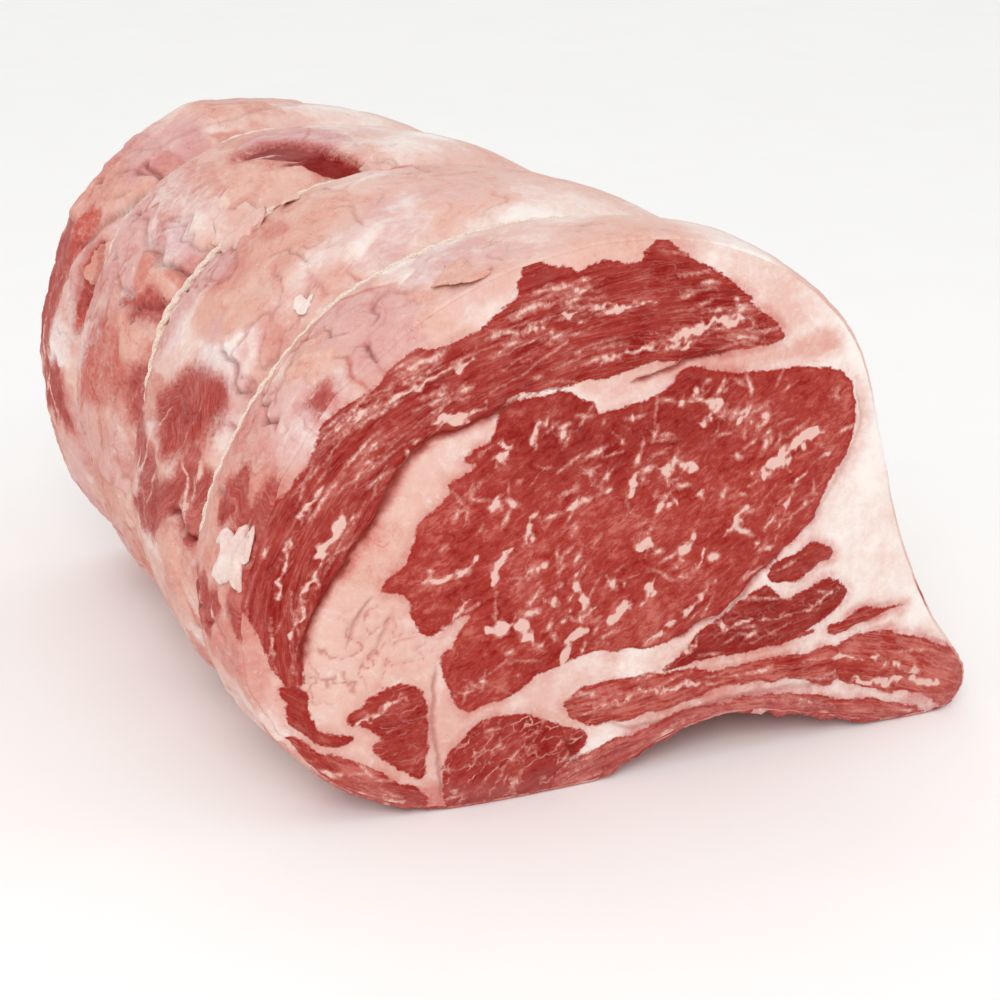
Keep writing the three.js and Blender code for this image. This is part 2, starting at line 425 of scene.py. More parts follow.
class Form:
    """The skin of the frame's roast, measured again as an even grid of points.

    A level is a distance behind the cut face before the ties lean the meat over, so each
    tie lies along one row of the grid.
    """

    def __init__(self, size: FormSize) -> None:
        self.size = size
        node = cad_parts["roast"]
        corners = np.array([v.co for v in node.data.vertices]) / MM
        self.cut_y = float(corners[:, 1].min())
        levels = self.level(corners[:, 0], corners[:, 2], corners[:, 1] - self.cut_y)
        corners[:, 1] = levels
        ends = np.array([e.vertices[:] for e in node.data.edges])
        self._ends = corners[ends[:, 0]], corners[ends[:, 1]]
        self.rows = int(round(size.length / size.row_step)) + 1
        self.levels = np.linspace(0, size.length, self.rows)
        self.points = self._grid()
        ring = self.points[self.rows // 3]
        step = np.linalg.norm(np.diff(ring, axis=0), axis=1).mean()
        across = np.arange(size.columns) * step
        self.flat = np.stack(np.meshgrid(across, self.levels), -1)
        self.angles = self.round_angles(self.points)
        self.out = self._outward(self.points)

    def lean(self, level: Array) -> Array:
        """How much further back the top of a level lies than its base."""
        stops = [0.0] + [tie.distance for tie in TIES] + [self.size.length]
        return np.interp(level, stops, [0.0] + [tie.lean for tie in TIES] + [0.0])

    def behind(self, x: Array, z: Array, level: Array) -> Array:
        """Distance behind the cut face of a point of a level."""
        size = self.size
        up = np.clip(z / size.height, 0, 1) - 0.5
        roll = size.roll * smooth(-x, size.roll_from, size.roll_to)
        return level + self.lean(level) * up + roll * bell(level, size.roll_depth)

    def level(self, x: Array, z: Array, behind: Array) -> Array:
        """The level of a point at a distance behind the cut face."""
        level = np.array(behind, float)
        for _ in range(12):
            level = level - (self.behind(x, z, level) - behind)
        return level

    def _slice(self, level: float) -> Array:
        """One even ring of points (x, z) round the meat at a level."""
        start, end = self._ends
        crossed = (start[:, 1] < level) != (end[:, 1] < level)
        a, b = start[crossed], end[crossed]
        share = ((level - a[:, 1]) / (b[:, 1] - a[:, 1]))[:, None]
        ring = (a + (b - a) * share)[:, [0, 2]]
        angle = np.degrees(np.arctan2(*(ring - self.size.middle).T[::-1]))
        ring = ring[np.argsort((angle - self.size.start_angle) % 360)]
        ring = np.vstack([ring, ring[:1]])
        return resample(ring, self.size.columns + 1)[:-1]

    def _grid(self) -> Array:
        """The grid of points, smoothed a little where the frame's faces meet."""
        first = self.size.first_level
        levels = np.clip(self.levels, first, self.size.length - 0.05)
        rings = np.stack([self._slice(level) for level in levels])
        slope = (self._slice(2 * first) - self._slice(first)) / first
        ahead = np.clip(self.levels - first, None, 0)[:, None, None]
        rings = rings + ahead * slope
        rings = soften(rings, 3.2 / self.size.row_step, 1, True)
        rings = soften(rings, 1.2 / self.size.row_step, 0, False)
        rings[..., 1] = np.maximum(rings[..., 1], 0.0)
        behind = self.behind(rings[..., 0], rings[..., 1], self.levels[:, None])
        return np.stack([rings[..., 0], behind + self.cut_y, rings[..., 1]], -1)

    def round_angles(self, points: Array) -> Array:
        """Angle of each point round the middle, counted up from the lip."""
        offset = points[..., [0, 2]] - self.size.middle
        angle = np.unwrap(np.arctan2(offset[..., 1], offset[..., 0]), axis=-1)
        return np.degrees(angle)

    def _outward(self, points: Array) -> Array:
        """Unit directions straight out of the skin."""
        round_it = np.roll(points, -1, 1) - np.roll(points, 1, 1)
        away = np.cross(np.gradient(points, axis=0), round_it)
        away /= np.linalg.norm(away, axis=-1, keepdims=True)
        return away if (away[:, :, 2] * (points[:, :, 2] - 65)).sum() > 0 else -away

    def place(self, spots: Spots) -> Array:
        """Turns (angle, distance behind the cut) into places on the unrolled skin."""
        placed = []
        for angle, distance in spots:
            level = float(distance)
            for _ in range(4):
                row = int(np.clip(round(level / self.size.row_step), 0, self.rows - 1))
                column = np.interp(angle, self.angles[row], np.arange(self.size.columns))
                x, _, z = self.points[row, int(column) % self.size.columns]
                level = float(self.level(x, z, np.array(float(distance))))
            placed.append((column * self.flat[0, 1, 0], level))
        return np.array(placed)


# ---------------------------------------------------------------------------------------
# The cut face: muscles, seams and marbling
# ---------------------------------------------------------------------------------------


@dataclass(frozen=True)
class Muscle:
    """One muscle as it shows in a cut.

    Attributes:
        outline: Its edge, as (x, z) in mm.
        grain: A line along its fibres.
        tone: From dark (-1) to light (1).
        streak: From short grains (0) to long streaks (1).
        marble: How much fine fat runs through it.
        bulge: How far it stands out of the cut, in mm.
        net: How much of a fine pale net shows round its bundles.
    """

    outline: Spots
    grain: Spots
    tone: float = 0.0
    streak: float = 0.5
    marble: float = 0.5
    bulge: float = 0.6
    net: float = 0.0


@dataclass(frozen=True)
class Seam:
    """An open seam or crease: its line, depth and half width in mm, and how dark its painted shade
    is.
    """

    line: Spots
    depth: float
    width: float
    dark: float = 0.6


RIB_EYE = Muscle(
    outline=(
        (-36, 97), (-32, 101), (-25, 102), (-18, 102), (-13, 99), (-10, 96), (-3, 96),
        (2, 97), (8, 100), (12, 104), (22, 102), (30, 101), (38, 100), (49, 100), (55, 98),
        (58, 95), (60, 91), (60, 84), (59, 78), (55, 72), (51, 66), (49, 61), (44, 56),
        (40, 52), (34, 48), (28, 42), (20, 38), (13, 35), (5, 33.5), (-3, 34), (-10, 35),
        (-19, 33), (-26, 31), (-32, 28), (-39, 26), (-46, 26), (-50, 34), (-51, 40), (-48, 43),
        (-44, 49), (-46, 50), (-50, 47), (-55, 46), (-58, 51), (-59, 56), (-65, 59),
        (-64, 62), (-60, 65), (-57, 70), (-55, 75), (-52, 77), (-48, 81), (-48, 83),
        (-42, 86), (-45, 88), (-38, 92),
    ),
    grain=((-70, 30), (-10, 65), (62, 108)),
    tone=0.1, streak=0.12, marble=0.7, bulge=1.1,
)
CAP = Muscle(
    outline=(
        (37, 112), (29, 117), (28, 120), (16, 129), (9, 133), (4, 136), (-2, 131), (-11, 132),
        (-18, 131), (-29, 134), (-31, 131), (-32, 126), (-36, 123), (-41, 119), (-49, 116),
        (-57, 115), (-63, 111), (-67, 107), (-74, 104), (-78, 100), (-80, 95), (-83, 89),
        (-88, 84), (-95, 78), (-103, 73), (-102, 65), (-96, 56), (-93.5, 49), (-90.5, 41), (-87, 37),
        (-84, 39), (-84, 44), (-82, 53), (-79, 58), (-75, 64), (-70, 70), (-66, 77),
        (-62, 85), (-58, 90), (-52, 94), (-45, 95.5), (-36, 98.5), (-31, 102), (-22, 103),
        (-15, 104), (-7, 104), (0, 106), (11, 106), (20, 106), (29, 107), (38, 108),
    ),
    grain=((-90, 30), (-91, 60), (-78, 84), (-62, 99), (-38, 110), (-5, 117), (40, 116)),
    tone=-0.3, streak=0.8, marble=0.65, bulge=0.5,
)
COMPLEXUS = Muscle(
    outline=(
        (-74, 29), (-70, 31), (-64, 35), (-59, 35), (-55, 31), (-54, 24), (-54, 17),
        (-56, 10), (-60, 12), (-64, 15), (-68, 19), (-66, 22), (-70, 25), (-73, 26),
    ),
    grain=((-74, 25), (-55, 28)),
    tone=-0.2, streak=0.4, marble=0.9, bulge=0.8, net=0.5,
)
SIDE_STRIP = Muscle(
    outline=(
        (-90, 38), (-87, 38), (-84, 36), (-83, 31), (-80, 26), (-72, 22.5), (-77, 21),
        (-83, 24), (-87, 28), (-89, 34),
    ),
    grain=((-90, 36), (-72, 21)),
    tone=-0.3, streak=0.7, marble=0.6, bulge=0.5,
)
LOW_RIM = Muscle(
    outline=(
        (-88, 25), (-82, 21), (-75, 18), (-68, 14), (-62, 10), (-57, 8), (-54, 3), (-54, -5),
        (-68, -5), (-80, 4), (-91, 15),
    ),
    grain=((-88, 22), (-72, 10), (-54, 3)),
    tone=-0.1, streak=0.8, marble=1.0, bulge=0.4,
)
MULTIFIDUS = Muscle(
    outline=(
        (-41, 22), (-34, 22), (-28, 21.5), (-21, 18), (-14, 14.5), (-13, 11), (-17, 7),
        (-22, 3), (-24, -5), (-47, -6), (-50, 2), (-50, 13), (-46, 18),
    ),
    grain=((-50, -2), (-38, 10), (-14, 17)),
    tone=-0.3, streak=0.3, marble=0.3, bulge=1.0, net=0.85,
)
RIB_STRIP = Muscle(
    outline=(
        (-19, 22), (-15, 26), (-8, 26.5), (4, 26.5), (16, 25.5), (28, 24), (47, 24.5),
        (57, 25), (60, 21), (57, 14.5), (47, 17), (37, 18.5), (25, 19), (14, 17), (4, 16),
        (-5, 15), (-13, 16),
    ),
    grain=((-20, 18), (12, 21), (56, 21)),
    tone=0.1, streak=0.85, marble=1.1, bulge=0.9, net=0.35,
)
UNDER_EYE = Muscle(
    outline=(
        (60, 40), (56, 43), (51, 43), (45, 41.5), (41, 40.5), (36, 45), (28, 40.5), (20, 36),
        (12, 30), (8, 27), (19, 27.5), (31, 28), (42, 28.5), (54, 33), (60, 37),
    ),
    grain=((8, 27), (30, 36), (60, 41)),
    tone=-0.6, streak=0.55, marble=0.35, bulge=0.5, net=0.3,
)
NODULE = Muscle(
    outline=(
        (55, 52), (50, 54), (44, 52), (38, 50), (37, 47), (40, 45), (46, 45), (52, 48),
        (55, 49),
    ),
    grain=((36, 46), (56, 51)),
    tone=-0.4, streak=0.5, marble=0.5, bulge=0.8,
)
LIP_FANS = tuple(
    Muscle(outline, ((48, 28), (64, 30), (80, 33)), -0.2, 0.9, 0.7, 0.2)
    for outline in (
        ((79, 32), (72, 33), (67, 34), (61, 32), (55, 30), (57, 28), (62, 29), (66, 30),
         (73, 32)),
        ((50, 30), (43, 30), (37, 29), (37, 28), (44, 28), (50, 29)),
    )
)
TAIL = Muscle(
    outline=(
        (58, 24), (64, 27), (74, 26), (83, 23), (92, 19), (99, 15), (105, 10), (104, 2),
        (97, -3), (90, 2), (83, 7), (74, 9), (68, 11), (60, 14), (57, 19),
    ),
    grain=((53, 23), (76, 17), (99, 7)),
    tone=0.4, streak=0.75, marble=1.4, bulge=0.8, net=0.4,
)
BOTTOM_STRIP = Muscle(
    outline=(
        (-23, 2), (-16, 7), (-8, 10), (4, 12), (14, 15.5), (24, 15), (34, 15), (47, 13.5),
        (58, 10.5), (70, 7.5), (82, 4), (88, -4), (60, -4), (36, 2), (14, 2), (0, -3),
        (-24, -6),
    ),
    grain=((-24, 0), (0, 8), (22, 12), (57, 8), (84, 1)),
    tone=0.05, streak=0.95, marble=1.1, bulge=0.5, net=0.35,
)
CUT_MUSCLES = (
    RIB_EYE, CAP, COMPLEXUS, SIDE_STRIP, LOW_RIM, MULTIFIDUS, RIB_STRIP, UNDER_EYE, NODULE,
    TAIL, BOTTOM_STRIP,
) + LIP_FANS

# Fat inside the lean of the cut face: a line (x, z) and its half width, in mm.
FAT_STROKES = (
    (((10, 96), (18, 95), (22, 94), (18, 91), (14, 90)), 0.8),
    (((51, 84), (45, 83), (41, 81), (37, 77), (35, 73)), 1.3),
    (((26, 89), (29, 91), (32, 93)), 0.7),
    (((-3, 75), (-1, 79), (3, 80), (7, 79), (10, 80), (14, 79)), 0.9),
    (((6, 79), (8, 75)), 0.5),
    (((-14, 79), (-12, 78)), 1.0),
    (((-19, 73), (-17, 74)), 0.9),
    (((-38, 76), (-36, 78)), 0.9),
    (((5, 70), (7, 72), (9, 70)), 1.1),
    (((14, 71), (17, 73)), 0.9),
    (((-1, 61), (2, 62), (4, 60)), 1.3),
    (((2, 64), (2, 59)), 0.7),
    (((11, 56), (13, 59), (16, 61)), 1.1),
    (((1, 46), (3, 49), (5, 52)), 1.2),
    (((-55, 60), (-50, 61), (-45, 62), (-42, 64)), 0.9),
    (((-39, 60), (-37, 58), (-36, 63), (-32, 66)), 0.9),
    (((-40, 46), (-35, 46), (-32, 46), (-29, 44)), 1.5),
    (((-31, 45), (-28, 41)), 1.2),
    (((-15, 50), (-15, 44), (-18, 39), (-19, 34)), 1.7),
    (((20, 47), (14, 42), (8, 39), (5, 36)), 1.0),
    (((-44, 54), (-47, 51), (-50, 46), (-48, 42)), 0.7),
    (((38, 65), (36, 61), (35, 59)), 0.6),
    (((-33, 56), (-29, 59), (-24, 61)), 0.6),
    (((-24, 50), (-20, 54), (-16, 56)), 0.7),
    (((-8, 41), (-5, 45), (-2, 47)), 0.8),
    (((12, 50), (16, 53), (18, 57)), 0.7),
    (((22, 60), (26, 63), (29, 68)), 0.6),
    (((46, 74), (43, 70), (40, 66), (38, 60)), 0.4),
    (((-24, 97), (-27, 93), (-28, 89)), 0.5),
    (((-36, 91), (-33, 90)), 0.9),
    (((-37, 88), (-34, 87)), 0.7),
    (((-27, 73), (-30, 68), (-29, 65)), 0.6),
    (((-8, 54), (-6, 51)), 0.7),
    (((-52, 98), (-45, 99), (-38, 101)), 1.0),
    (((-87, 50), (-84, 58), (-79, 70), (-73, 79)), 0.9),
    (((-90, 60), (-86, 74), (-78, 86)), 0.5),
    (((-70, 101), (-56, 107), (-42, 112)), 0.6),
    (((-30, 118), (-14, 121), (4, 120)), 0.7),
    (((8, 112), (20, 114), (30, 113)), 0.8),
    (((-10, 108), (2, 110), (14, 110)), 0.6),
    (((-12, 20), (6, 22), (24, 21), (40, 22)), 0.5),
    (((12, 31), (28, 35), (46, 36), (58, 40)), 0.4),
    (((56, 22), (70, 19), (84, 13)), 0.6),
    (((60, 14), (76, 12), (90, 9)), 0.7),
    (((-40, 0), (-34, 10), (-26, 18)), 0.35),
    (((-72, 26), (-66, 29), (-60, 33)), 0.6),
)

# Where the fat of the cut face is peach or pink: an outline, then how much of each.
FAT_ZONES = (
    (((8, 101), (40, 101), (54, 103), (52, 109), (38, 108), (14, 107)), 0.45, 0.22),
    (((-58, 30), (-48, 30), (-47, 0), (-56, 0)), 0.35, 0.15),
    (((-36, 100), (-14, 106), (12, 108), (10, 100), (-8, 97), (-20, 104)), 0.4, 0.12),
    (((56, 100), (64, 90), (62, 76), (50, 60), (46, 60), (58, 78), (60, 92)), 0.2, 0.2),
    (((-60, 68), (-50, 46), (-60, 36), (-72, 52)), 0.3, 0.12),
    (((-96, 78), (-80, 106), (-50, 122), (-30, 138), (-60, 134), (-90, 108)), 0.75, 0.2),
    (((-104, 36), (-88, 26), (-84, 14), (-100, 14)), 0.7, 0.4),
    (((-106, 66), (-95, 56), (-88, 38), (-86, 24), (-104, 20)), 0.6, 0.15),
)

KERNEL = (
    (-83, 44), (-77, 52), (-67, 56), (-58, 50), (-52, 40), (-56, 36), (-64, 37), (-74, 33),
    (-84, 34),
)

CUT_SEAMS = (
    Seam(((-85, 41), (-82, 53), (-75, 64), (-66, 77), (-60, 87), (-52, 94), (-45, 95.5),
          (-36, 98.5), (-30, 102)), 1.2, 0.9, 0.85),
    Seam(((-4, 101), (4, 103), (14, 106), (26, 106.5)), 1.1, 0.6, 0.75),
    Seam(((60, 95), (62, 85), (59, 76), (53, 66), (46, 57)), 0.5, 0.5, 0.2),
    Seam(((44, 55), (34, 48), (28, 41), (18, 37), (8, 34)), 0.6, 0.7, 0.5),
    Seam(((-52, 40), (-53, 26), (-51, 8), (-51, 1)), 0.6, 0.6, 0.35),
    Seam(((-19, 15), (-16, 8), (-12, 4)), 0.9, 0.7, 0.3),
    Seam(((-17, 20), (0, 13), (26, 15.5), (50, 15), (60, 15)), 0.6, 0.6, 0.25),
    Seam(((-66, 60), (-72, 52), (-74, 44)), 0.7, 0.6, 0.3),
    Seam(((-62, 55), (-66, 46), (-70, 40)), 0.5, 0.5, 0.2),
)

# How the muscles change by the far face: the same ones, moved and scaled.
FAR_CHANGES = (
    (RIB_EYE, 1.1, (-4.0, 3.0)), (CAP, 0.97, (-1.0, 2.0)), (MULTIFIDUS, 0.9, (-3.0, 1.0)),
    (RIB_STRIP, 1.0, (2.0, 0.0)), (TAIL, 0.9, (8.0, 2.0)), (COMPLEXUS, 0.8, (-14.0, 3.0)),
)


def far_muscles() -> tuple[Muscle, ...]:
    """The muscles as they lie in the far face."""
    result = []
    for muscle, scale, (x, z) in FAR_CHANGES:
        def moved(spots: Spots) -> Spots:
            """The spots, scaled about the middle of the eye and moved."""
            return tuple((scale * (a + 5) - 5 + x, scale * (b - 65) + 65 + z) for a, b in spots)

        result.append(
            Muscle(moved(muscle.outline), moved(muscle.grain), muscle.tone, muscle.streak,
                   muscle.marble, muscle.bulge, muscle.net)
        )
    return tuple(result)


@dataclass(frozen=True)
class FaceSize:
    """Sizes of a face's grid, in mm, and the angles of its four corners."""

    columns: int = 392
    rows: int = 250
    corners: tuple[float, ...] = (-25.0, 52.0, 143.0, 214.0)
    inset: float = 0.7
    skirt: float = 2.6
    outward: float = -1.0
    settle: int = 500


class Face:
    """A cut end of the roast: a thin closed slab over the end of the skin."""

    def __init__(self, form: Form, size: FaceSize, rim: Array, seed: int) -> None:
        self.form = form
        self.size = size
        self.clouds = Clouds(seed)
        self.random = np.random.default_rng(seed)
        self.flat, self.base = self._grid(rim)
        place = in_space(self.flat, 3.0 * seed)
        self.place = place
        warp = np.stack(
            [self.clouds.fractal(place + shift, 5.0, 3) for shift in (0.0, 31.0)], -1
        )
        fine = np.stack(
            [self.clouds.fractal(place + shift, 1.9, 2) for shift in (61.0, 97.0)], -1
        )
        self.canvas = Canvas(self.flat + 0.6 * warp + 0.18 * fine)
        self.torn_canvas = Canvas(self.flat + 0.8 * warp + 1.15 * fine)
        self.inset = Canvas(self.flat).inside(rim[::8, [0, 2]])
        self.near_rim = smooth(self.inset, 0.1, 2.6)
        self.looks = Looks.plain(self.flat.shape[:-1])
        self.height = np.zeros(self.flat.shape[:-1])

    def _grid(self, rim: Array) -> tuple[Array, Array]:
        """An even grid of points within the rim, as (x, z) and as how far back each lies."""
        size = self.size
        angles = self.form.round_angles(rim)
        starts = [int(np.argmin(np.abs(angles - corner))) for corner in size.corners]
        ring = rim[:, [0, 1, 2]]
        sides = []
        for k, start in enumerate(starts):
            end = starts[(k + 1) % 4]
            picked = np.arange(start, end + 1 if end > start else end + len(ring) + 1)
            count = size.rows if k % 2 == 0 else size.columns
            sides.append(resample(ring[picked % len(ring)], count))
        right, top, left, bottom = sides[0], sides[1][::-1], sides[2][::-1], sides[3]
        u = np.linspace(0, 1, size.columns)[None, :, None]
        v = np.linspace(0, 1, size.rows)[:, None, None]
        grid = (1 - v) * bottom[None] + v * top[None]
        grid = grid + (1 - u) * left[:, None] + u * right[:, None]
        grid = grid - (1 - u) * (1 - v) * bottom[0] - u * (1 - v) * bottom[-1]
        grid = grid - (1 - u) * v * top[0] - u * v * top[-1]
        for _ in range(size.settle):
            around = grid[:-2, 1:-1] + grid[2:, 1:-1] + grid[1:-1, :-2] + grid[1:-1, 2:]
            grid[1:-1, 1:-1] = around / 4
        return grid[..., [0, 2]], grid[..., 1]

    def add_muscles(self, muscles: Sequence[Muscle]) -> None:
        """Draws the muscles, each with its own grain."""
        looks = self.looks
        for number, muscle in enumerate(muscles):
            depth = self.canvas.inside(np.array(muscle.outline))
            gap, along, side, _ = Canvas(self.flat).stroke(np.array(muscle.grain), 90.0)
            mine = depth > looks.lean
            layer = np.full(gap.shape, 37.0 * number)
            looks.grain[mine] = np.stack([along, gap * side, layer], -1)[mine]
            for name in ("tone", "streak", "marble", "net"):
                getattr(looks, name)[mine] = getattr(muscle, name)
            looks.lean[mine] = depth[mine]
            self.height += muscle.bulge * smooth(depth, -0.5, 9.0)

    def add_relief(self) -> None:
        """Raises the lean's edges and roughens it along its grain."""
        looks = self.looks
        stretch = np.where(looks.streak > 0.3, 7.0, 2.4)[..., None]
        fibres = looks.grain / np.concatenate(
            [stretch, np.full_like(stretch, 1.1), np.ones_like(stretch)], -1
        )
        rough = self.clouds.fractal(fibres, 1.0, 2)
        torn = self.clouds.fractal(looks.grain / (14.0, 3.2, 1.0), 1.0, 2)
        lean = smooth(looks.lean, -0.3, 1.0)
        self.height += 0.35 * lean * (0.5 + 0.5 * self.clouds.value(self.place, 9.0))
        self.height += lean * (0.10 + 0.16 * looks.streak) * rough
        self.height += lean * 0.35 * looks.streak * torn
        self.height += 0.55 * self.clouds.fractal(self.place, 22.0, 2)
        self.height += (1 - lean) * 0.16 * self.clouds.fractal(self.place, 3.4, 2)

    def add_tints(self) -> None:
        """Whiter fat on the lip's side, peach fat on the lobe's side, blush next to lean."""
        looks, x = self.looks, self.flat[..., 0]
        drift = self.clouds.fractal(self.place + 40, 16.0, 3)
        side = smooth(-x, -58, -30) * 0.45 + smooth(-x, 20, 70) * 0.3
        looks.peach = np.clip(0.02 + 0.7 * side + 0.2 * drift, 0, 1)
        halo = smooth(looks.lean, -3.2, -0.1) * (0.5 + 0.5 * drift)
        looks.blush = np.clip(0.12 * side * (drift + 0.5) + 0.55 * halo, 0, 1)
        looks.soft[:] = 0.3
        high = smooth(self.flat[..., 1], 66, 90) * bell(x + 8, 42)
        looks.tone -= 0.55 * high * (looks.streak < 0.2)

    def add_zones(self, zones: Sequence[tuple[Spots, float, float]]) -> None:
        """Tints parts of the fat peach or pink."""
        for outline, peach, blush in zones:
            share = smooth(self.canvas.inside(np.array(outline)), -3.0, 3.0)
            self.looks.peach = np.maximum(self.looks.peach, peach * share)
            self.looks.blush = np.maximum(self.looks.blush, blush * share)

    def add_kernel(self, outline: Spots) -> None:
        """Grainy fat with small lumps, reddish cracks between them, and painted shade in the cracks
        on the lobe's side.
        """
        looks = self.looks
        share = smooth(self.canvas.inside(np.array(outline)), -2.5, 2.5)
        lumps = np.abs(self.clouds.fractal(self.place, 4.2, 3))
        self.height += share * 0.9 * (np.minimum(lumps, 0.6) - 0.3)
        between = bell(lumps, 0.09) * share
        looks.blush = np.maximum(looks.blush, 0.5 * between)
        # Painted shade in the cracks between lumps, on the lobe's side only.
        looks.crevice_shade = np.maximum(looks.crevice_shade, 0.2 * between * (self.place[..., 0] < -66))
        looks.peach = np.maximum(looks.peach, 0.5 * share)

    def continue_skin(self, skin: "Skin") -> None:
        """Carries the skin's colours, and its painted crevice shade, a little way over the rim."""
        x, z = np.moveaxis(self.flat, -1, 0)
        ring = self.form.round_angles(skin.place[skin.first])
        middle = self.form.size.middle
        angle = np.degrees(np.arctan2(z - middle[1], x - middle[0]))
        angle = ring[0] + (angle - ring[0]) % 360
        column = np.interp(angle, ring, np.arange(len(ring))).astype(int)
        row = skin.first + (np.clip(self.inset, 0, 12) / self.form.size.row_step).astype(int)
        wander = self.inset + 2.5 * self.clouds.fractal(self.place + 11, 6.0, 3)
        share = (1 - smooth(wander, 2.0, 8.0)) * smooth(angle, 58, 84)
        # The crack values carried here are painted shade of the skin's creases.
        for name, most in (("peach", 1.0), ("lilac", 1.0), ("blush", 0.8), ("crevice_shade", 0.5)):
            values, given = getattr(self.looks, name), getattr(skin.looks, name)[row, column]
            setattr(self.looks, name, values + share * (most * given - values))

    def add_seams(self, seams: Sequence[Seam]) -> None:
        """Opens the seams, paints shade into them and blushes the tissue round them."""
        for seam in seams:
            gap, along, _, _ = self.canvas.stroke(np.array(seam.line), 6 * seam.width)
            ends = smooth(along, 0.0, 5.0) * smooth(along.max() - along, 0.0, 5.0)
            wave = self.clouds.value(in_space(self.flat, 5.0), 4.0)
            width = seam.width * (0.5 + 0.5 * ends) * (1 + 0.4 * wave)
            self.height -= seam.depth * ends * bell(gap, width)
            # Painted shade in the seam's crevice; the blush round it is the tissue's own pink.
            shade = seam.dark * ends * bell(gap, 0.8 * width)
            self.looks.crevice_shade = np.maximum(self.looks.crevice_shade, shade)
            halo = 0.9 * seam.dark * ends * bell(gap, 1.8 * width)
            self.looks.blush = np.maximum(self.looks.blush, halo)

    def add_fat_strokes(self, strokes: Sequence[tuple[Spots, float]]) -> None:
        """Draws the thick pieces of marbling."""
        drawn = []
        for line, width in strokes:
            drawn.append((np.array(line, float), 1.25 * width))
            path = curve(np.array(line, float), False)
            for _ in range(int(self.random.integers(1, 5))):
                start = path[self.random.integers(0, len(path))]
                turn = self.random.uniform(0, 2 * math.pi)
                reach = self.random.uniform(1.0, 3.2) * width
                ahead = reach * np.array([math.cos(turn), math.sin(turn)])
                twig = np.stack([start, start + 0.6 * ahead, start + ahead * (1.0, 1.3)])
                drawn.append((twig, 0.55 * width))
        wave = self.clouds.fractal(in_space(self.flat, 9.0), 2.4, 2)
        for line, width in drawn:
            gap, along, _, _ = self.torn_canvas.stroke(line, 4.0)
            tapered = width * (0.75 + 0.95 * wave)
            ends = smooth(along, -0.6, 1.5) * smooth(along.max() - along, -0.6, 1.5)
            self.looks.fleck = np.maximum(self.looks.fleck, tapered * (0.35 + 0.65 * ends) - gap)

    def scatter_flecks(self, count: int) -> None:
        """Scatters small pieces of marbling along the grain.

        Args:
            count: How many pieces to try; those outside the lean are left out.
        """
        rows, columns = self.flat.shape[:2]
        for _ in range(count):
            row, column = self.random.integers(0, rows), self.random.integers(0, columns)
            if self.looks.lean[row, column] < 1.0:
                continue
            streak = self.looks.streak[row, column]
            crowd = 0.5 + 0.9 * self.clouds.value(self.place[row, column] + 70, 17.0)
            if self.random.random() > crowd * (0.3 + 0.7 * self.looks.marble[row, column]):
                continue
            window = (slice(max(row - 16, 1), row + 16), slice(max(column - 16, 1), column + 16))
            grain = self.looks.grain[window]
            offset = grain - self.looks.grain[row, column]
            wave = self.clouds.fractal(grain, 1.7, 2)
            for _ in range(1 + (self.random.random() > 0.6)):
                length = self.random.gamma(2.2, 0.42) * (1.0 + 2.4 * streak) + 0.3
                width = self.random.gamma(2.0, 0.17) * (1.0 - 0.4 * streak) + 0.12
                turn = self.random.normal(0.0, 0.75) * (1.0 - 0.92 * streak)
                a = offset[..., 0] * math.cos(turn) + offset[..., 1] * math.sin(turn)
                b = offset[..., 1] * math.cos(turn) - offset[..., 0] * math.sin(turn)
                size = np.sqrt((a / length) ** 2 + ((b + 0.35 * wave) / width) ** 2)
                inside = (1.0 - size) * width + 0.12 * wave
                self.looks.fleck[window] = np.maximum(self.looks.fleck[window], inside)

    def build(self, name: str) -> bpy.types.Object:
        """Makes the closed slab.

        Args:
            name: Name of the piece.

        Returns:
            The piece.
        """
        size = self.size
        rows, columns = self.flat.shape[:2]
        points = np.stack([self.flat[..., 0], self.base, self.flat[..., 1]], -1)
        points[..., 1] += size.outward * self.height * self.near_rim
        number = np.arange(rows * columns).reshape(rows, columns)
        loop = np.concatenate(
            [number[0, :-1], number[:-1, -1], number[-1, :0:-1], number[:0:-1, 0]]
        )
        flat_points = points.reshape(-1, 3)
        rim = flat_points[loop]
        middle = rim.mean(0)
        skirt = rim + 0.012 * (middle - rim)
        skirt[:, 1] = rim[:, 1] - size.outward * size.skirt
        centre = skirt.mean(0, keepdims=True)
        every = np.concatenate([flat_points, skirt, centre])
        behind = rows * columns + np.arange(len(loop))
        beside = np.roll(behind, -1)
        wall = np.stack([np.roll(loop, -1), loop, behind, beside], -1)
        back = turned(fan_faces(behind, len(every) - 1))
        faces = np.concatenate([sheet_faces(rows, columns, False), wall, back])
        if size.outward > 0:
            faces = turned(faces)
        sharp = np.zeros(len(every), bool)
        sharp[loop] = True
        sharp[behind] = True
        fields = self.looks.fields(len(loop) + 1)
        return make_mesh(name, every, faces, fields, sharp)


# ---------------------------------------------------------------------------------------
# The skin: fat, membranes and bared lean round the outside
# ---------------------------------------------------------------------------------------


class Tissue(Enum):
    """What a patch of the skin is made of."""

    LEAN = "lean"
    PEACH = "peach"
    LILAC = "lilac"
    BLUSH = "blush"
    MARBLE = "marble"


@dataclass(frozen=True)
class Patch:
    """A patch of the skin.

    Attributes:
        tissue: What it is made of.
        outline: Its edge as (angle, distance).
        rise: How far it stands above what is round it, in mm.
        edge: Width of its edge, in mm.
        amount: How strong it is, from 0 to 1.
        crease: Depth of the crease round it, in mm.
    """

    tissue: Tissue
    outline: Spots
    rise: float = 0.0
    edge: float = 1.5
    amount: float = 1.0
    crease: float = 0.0


LEAN, PEACH, LILAC, BLUSH, MARBLE = Tissue

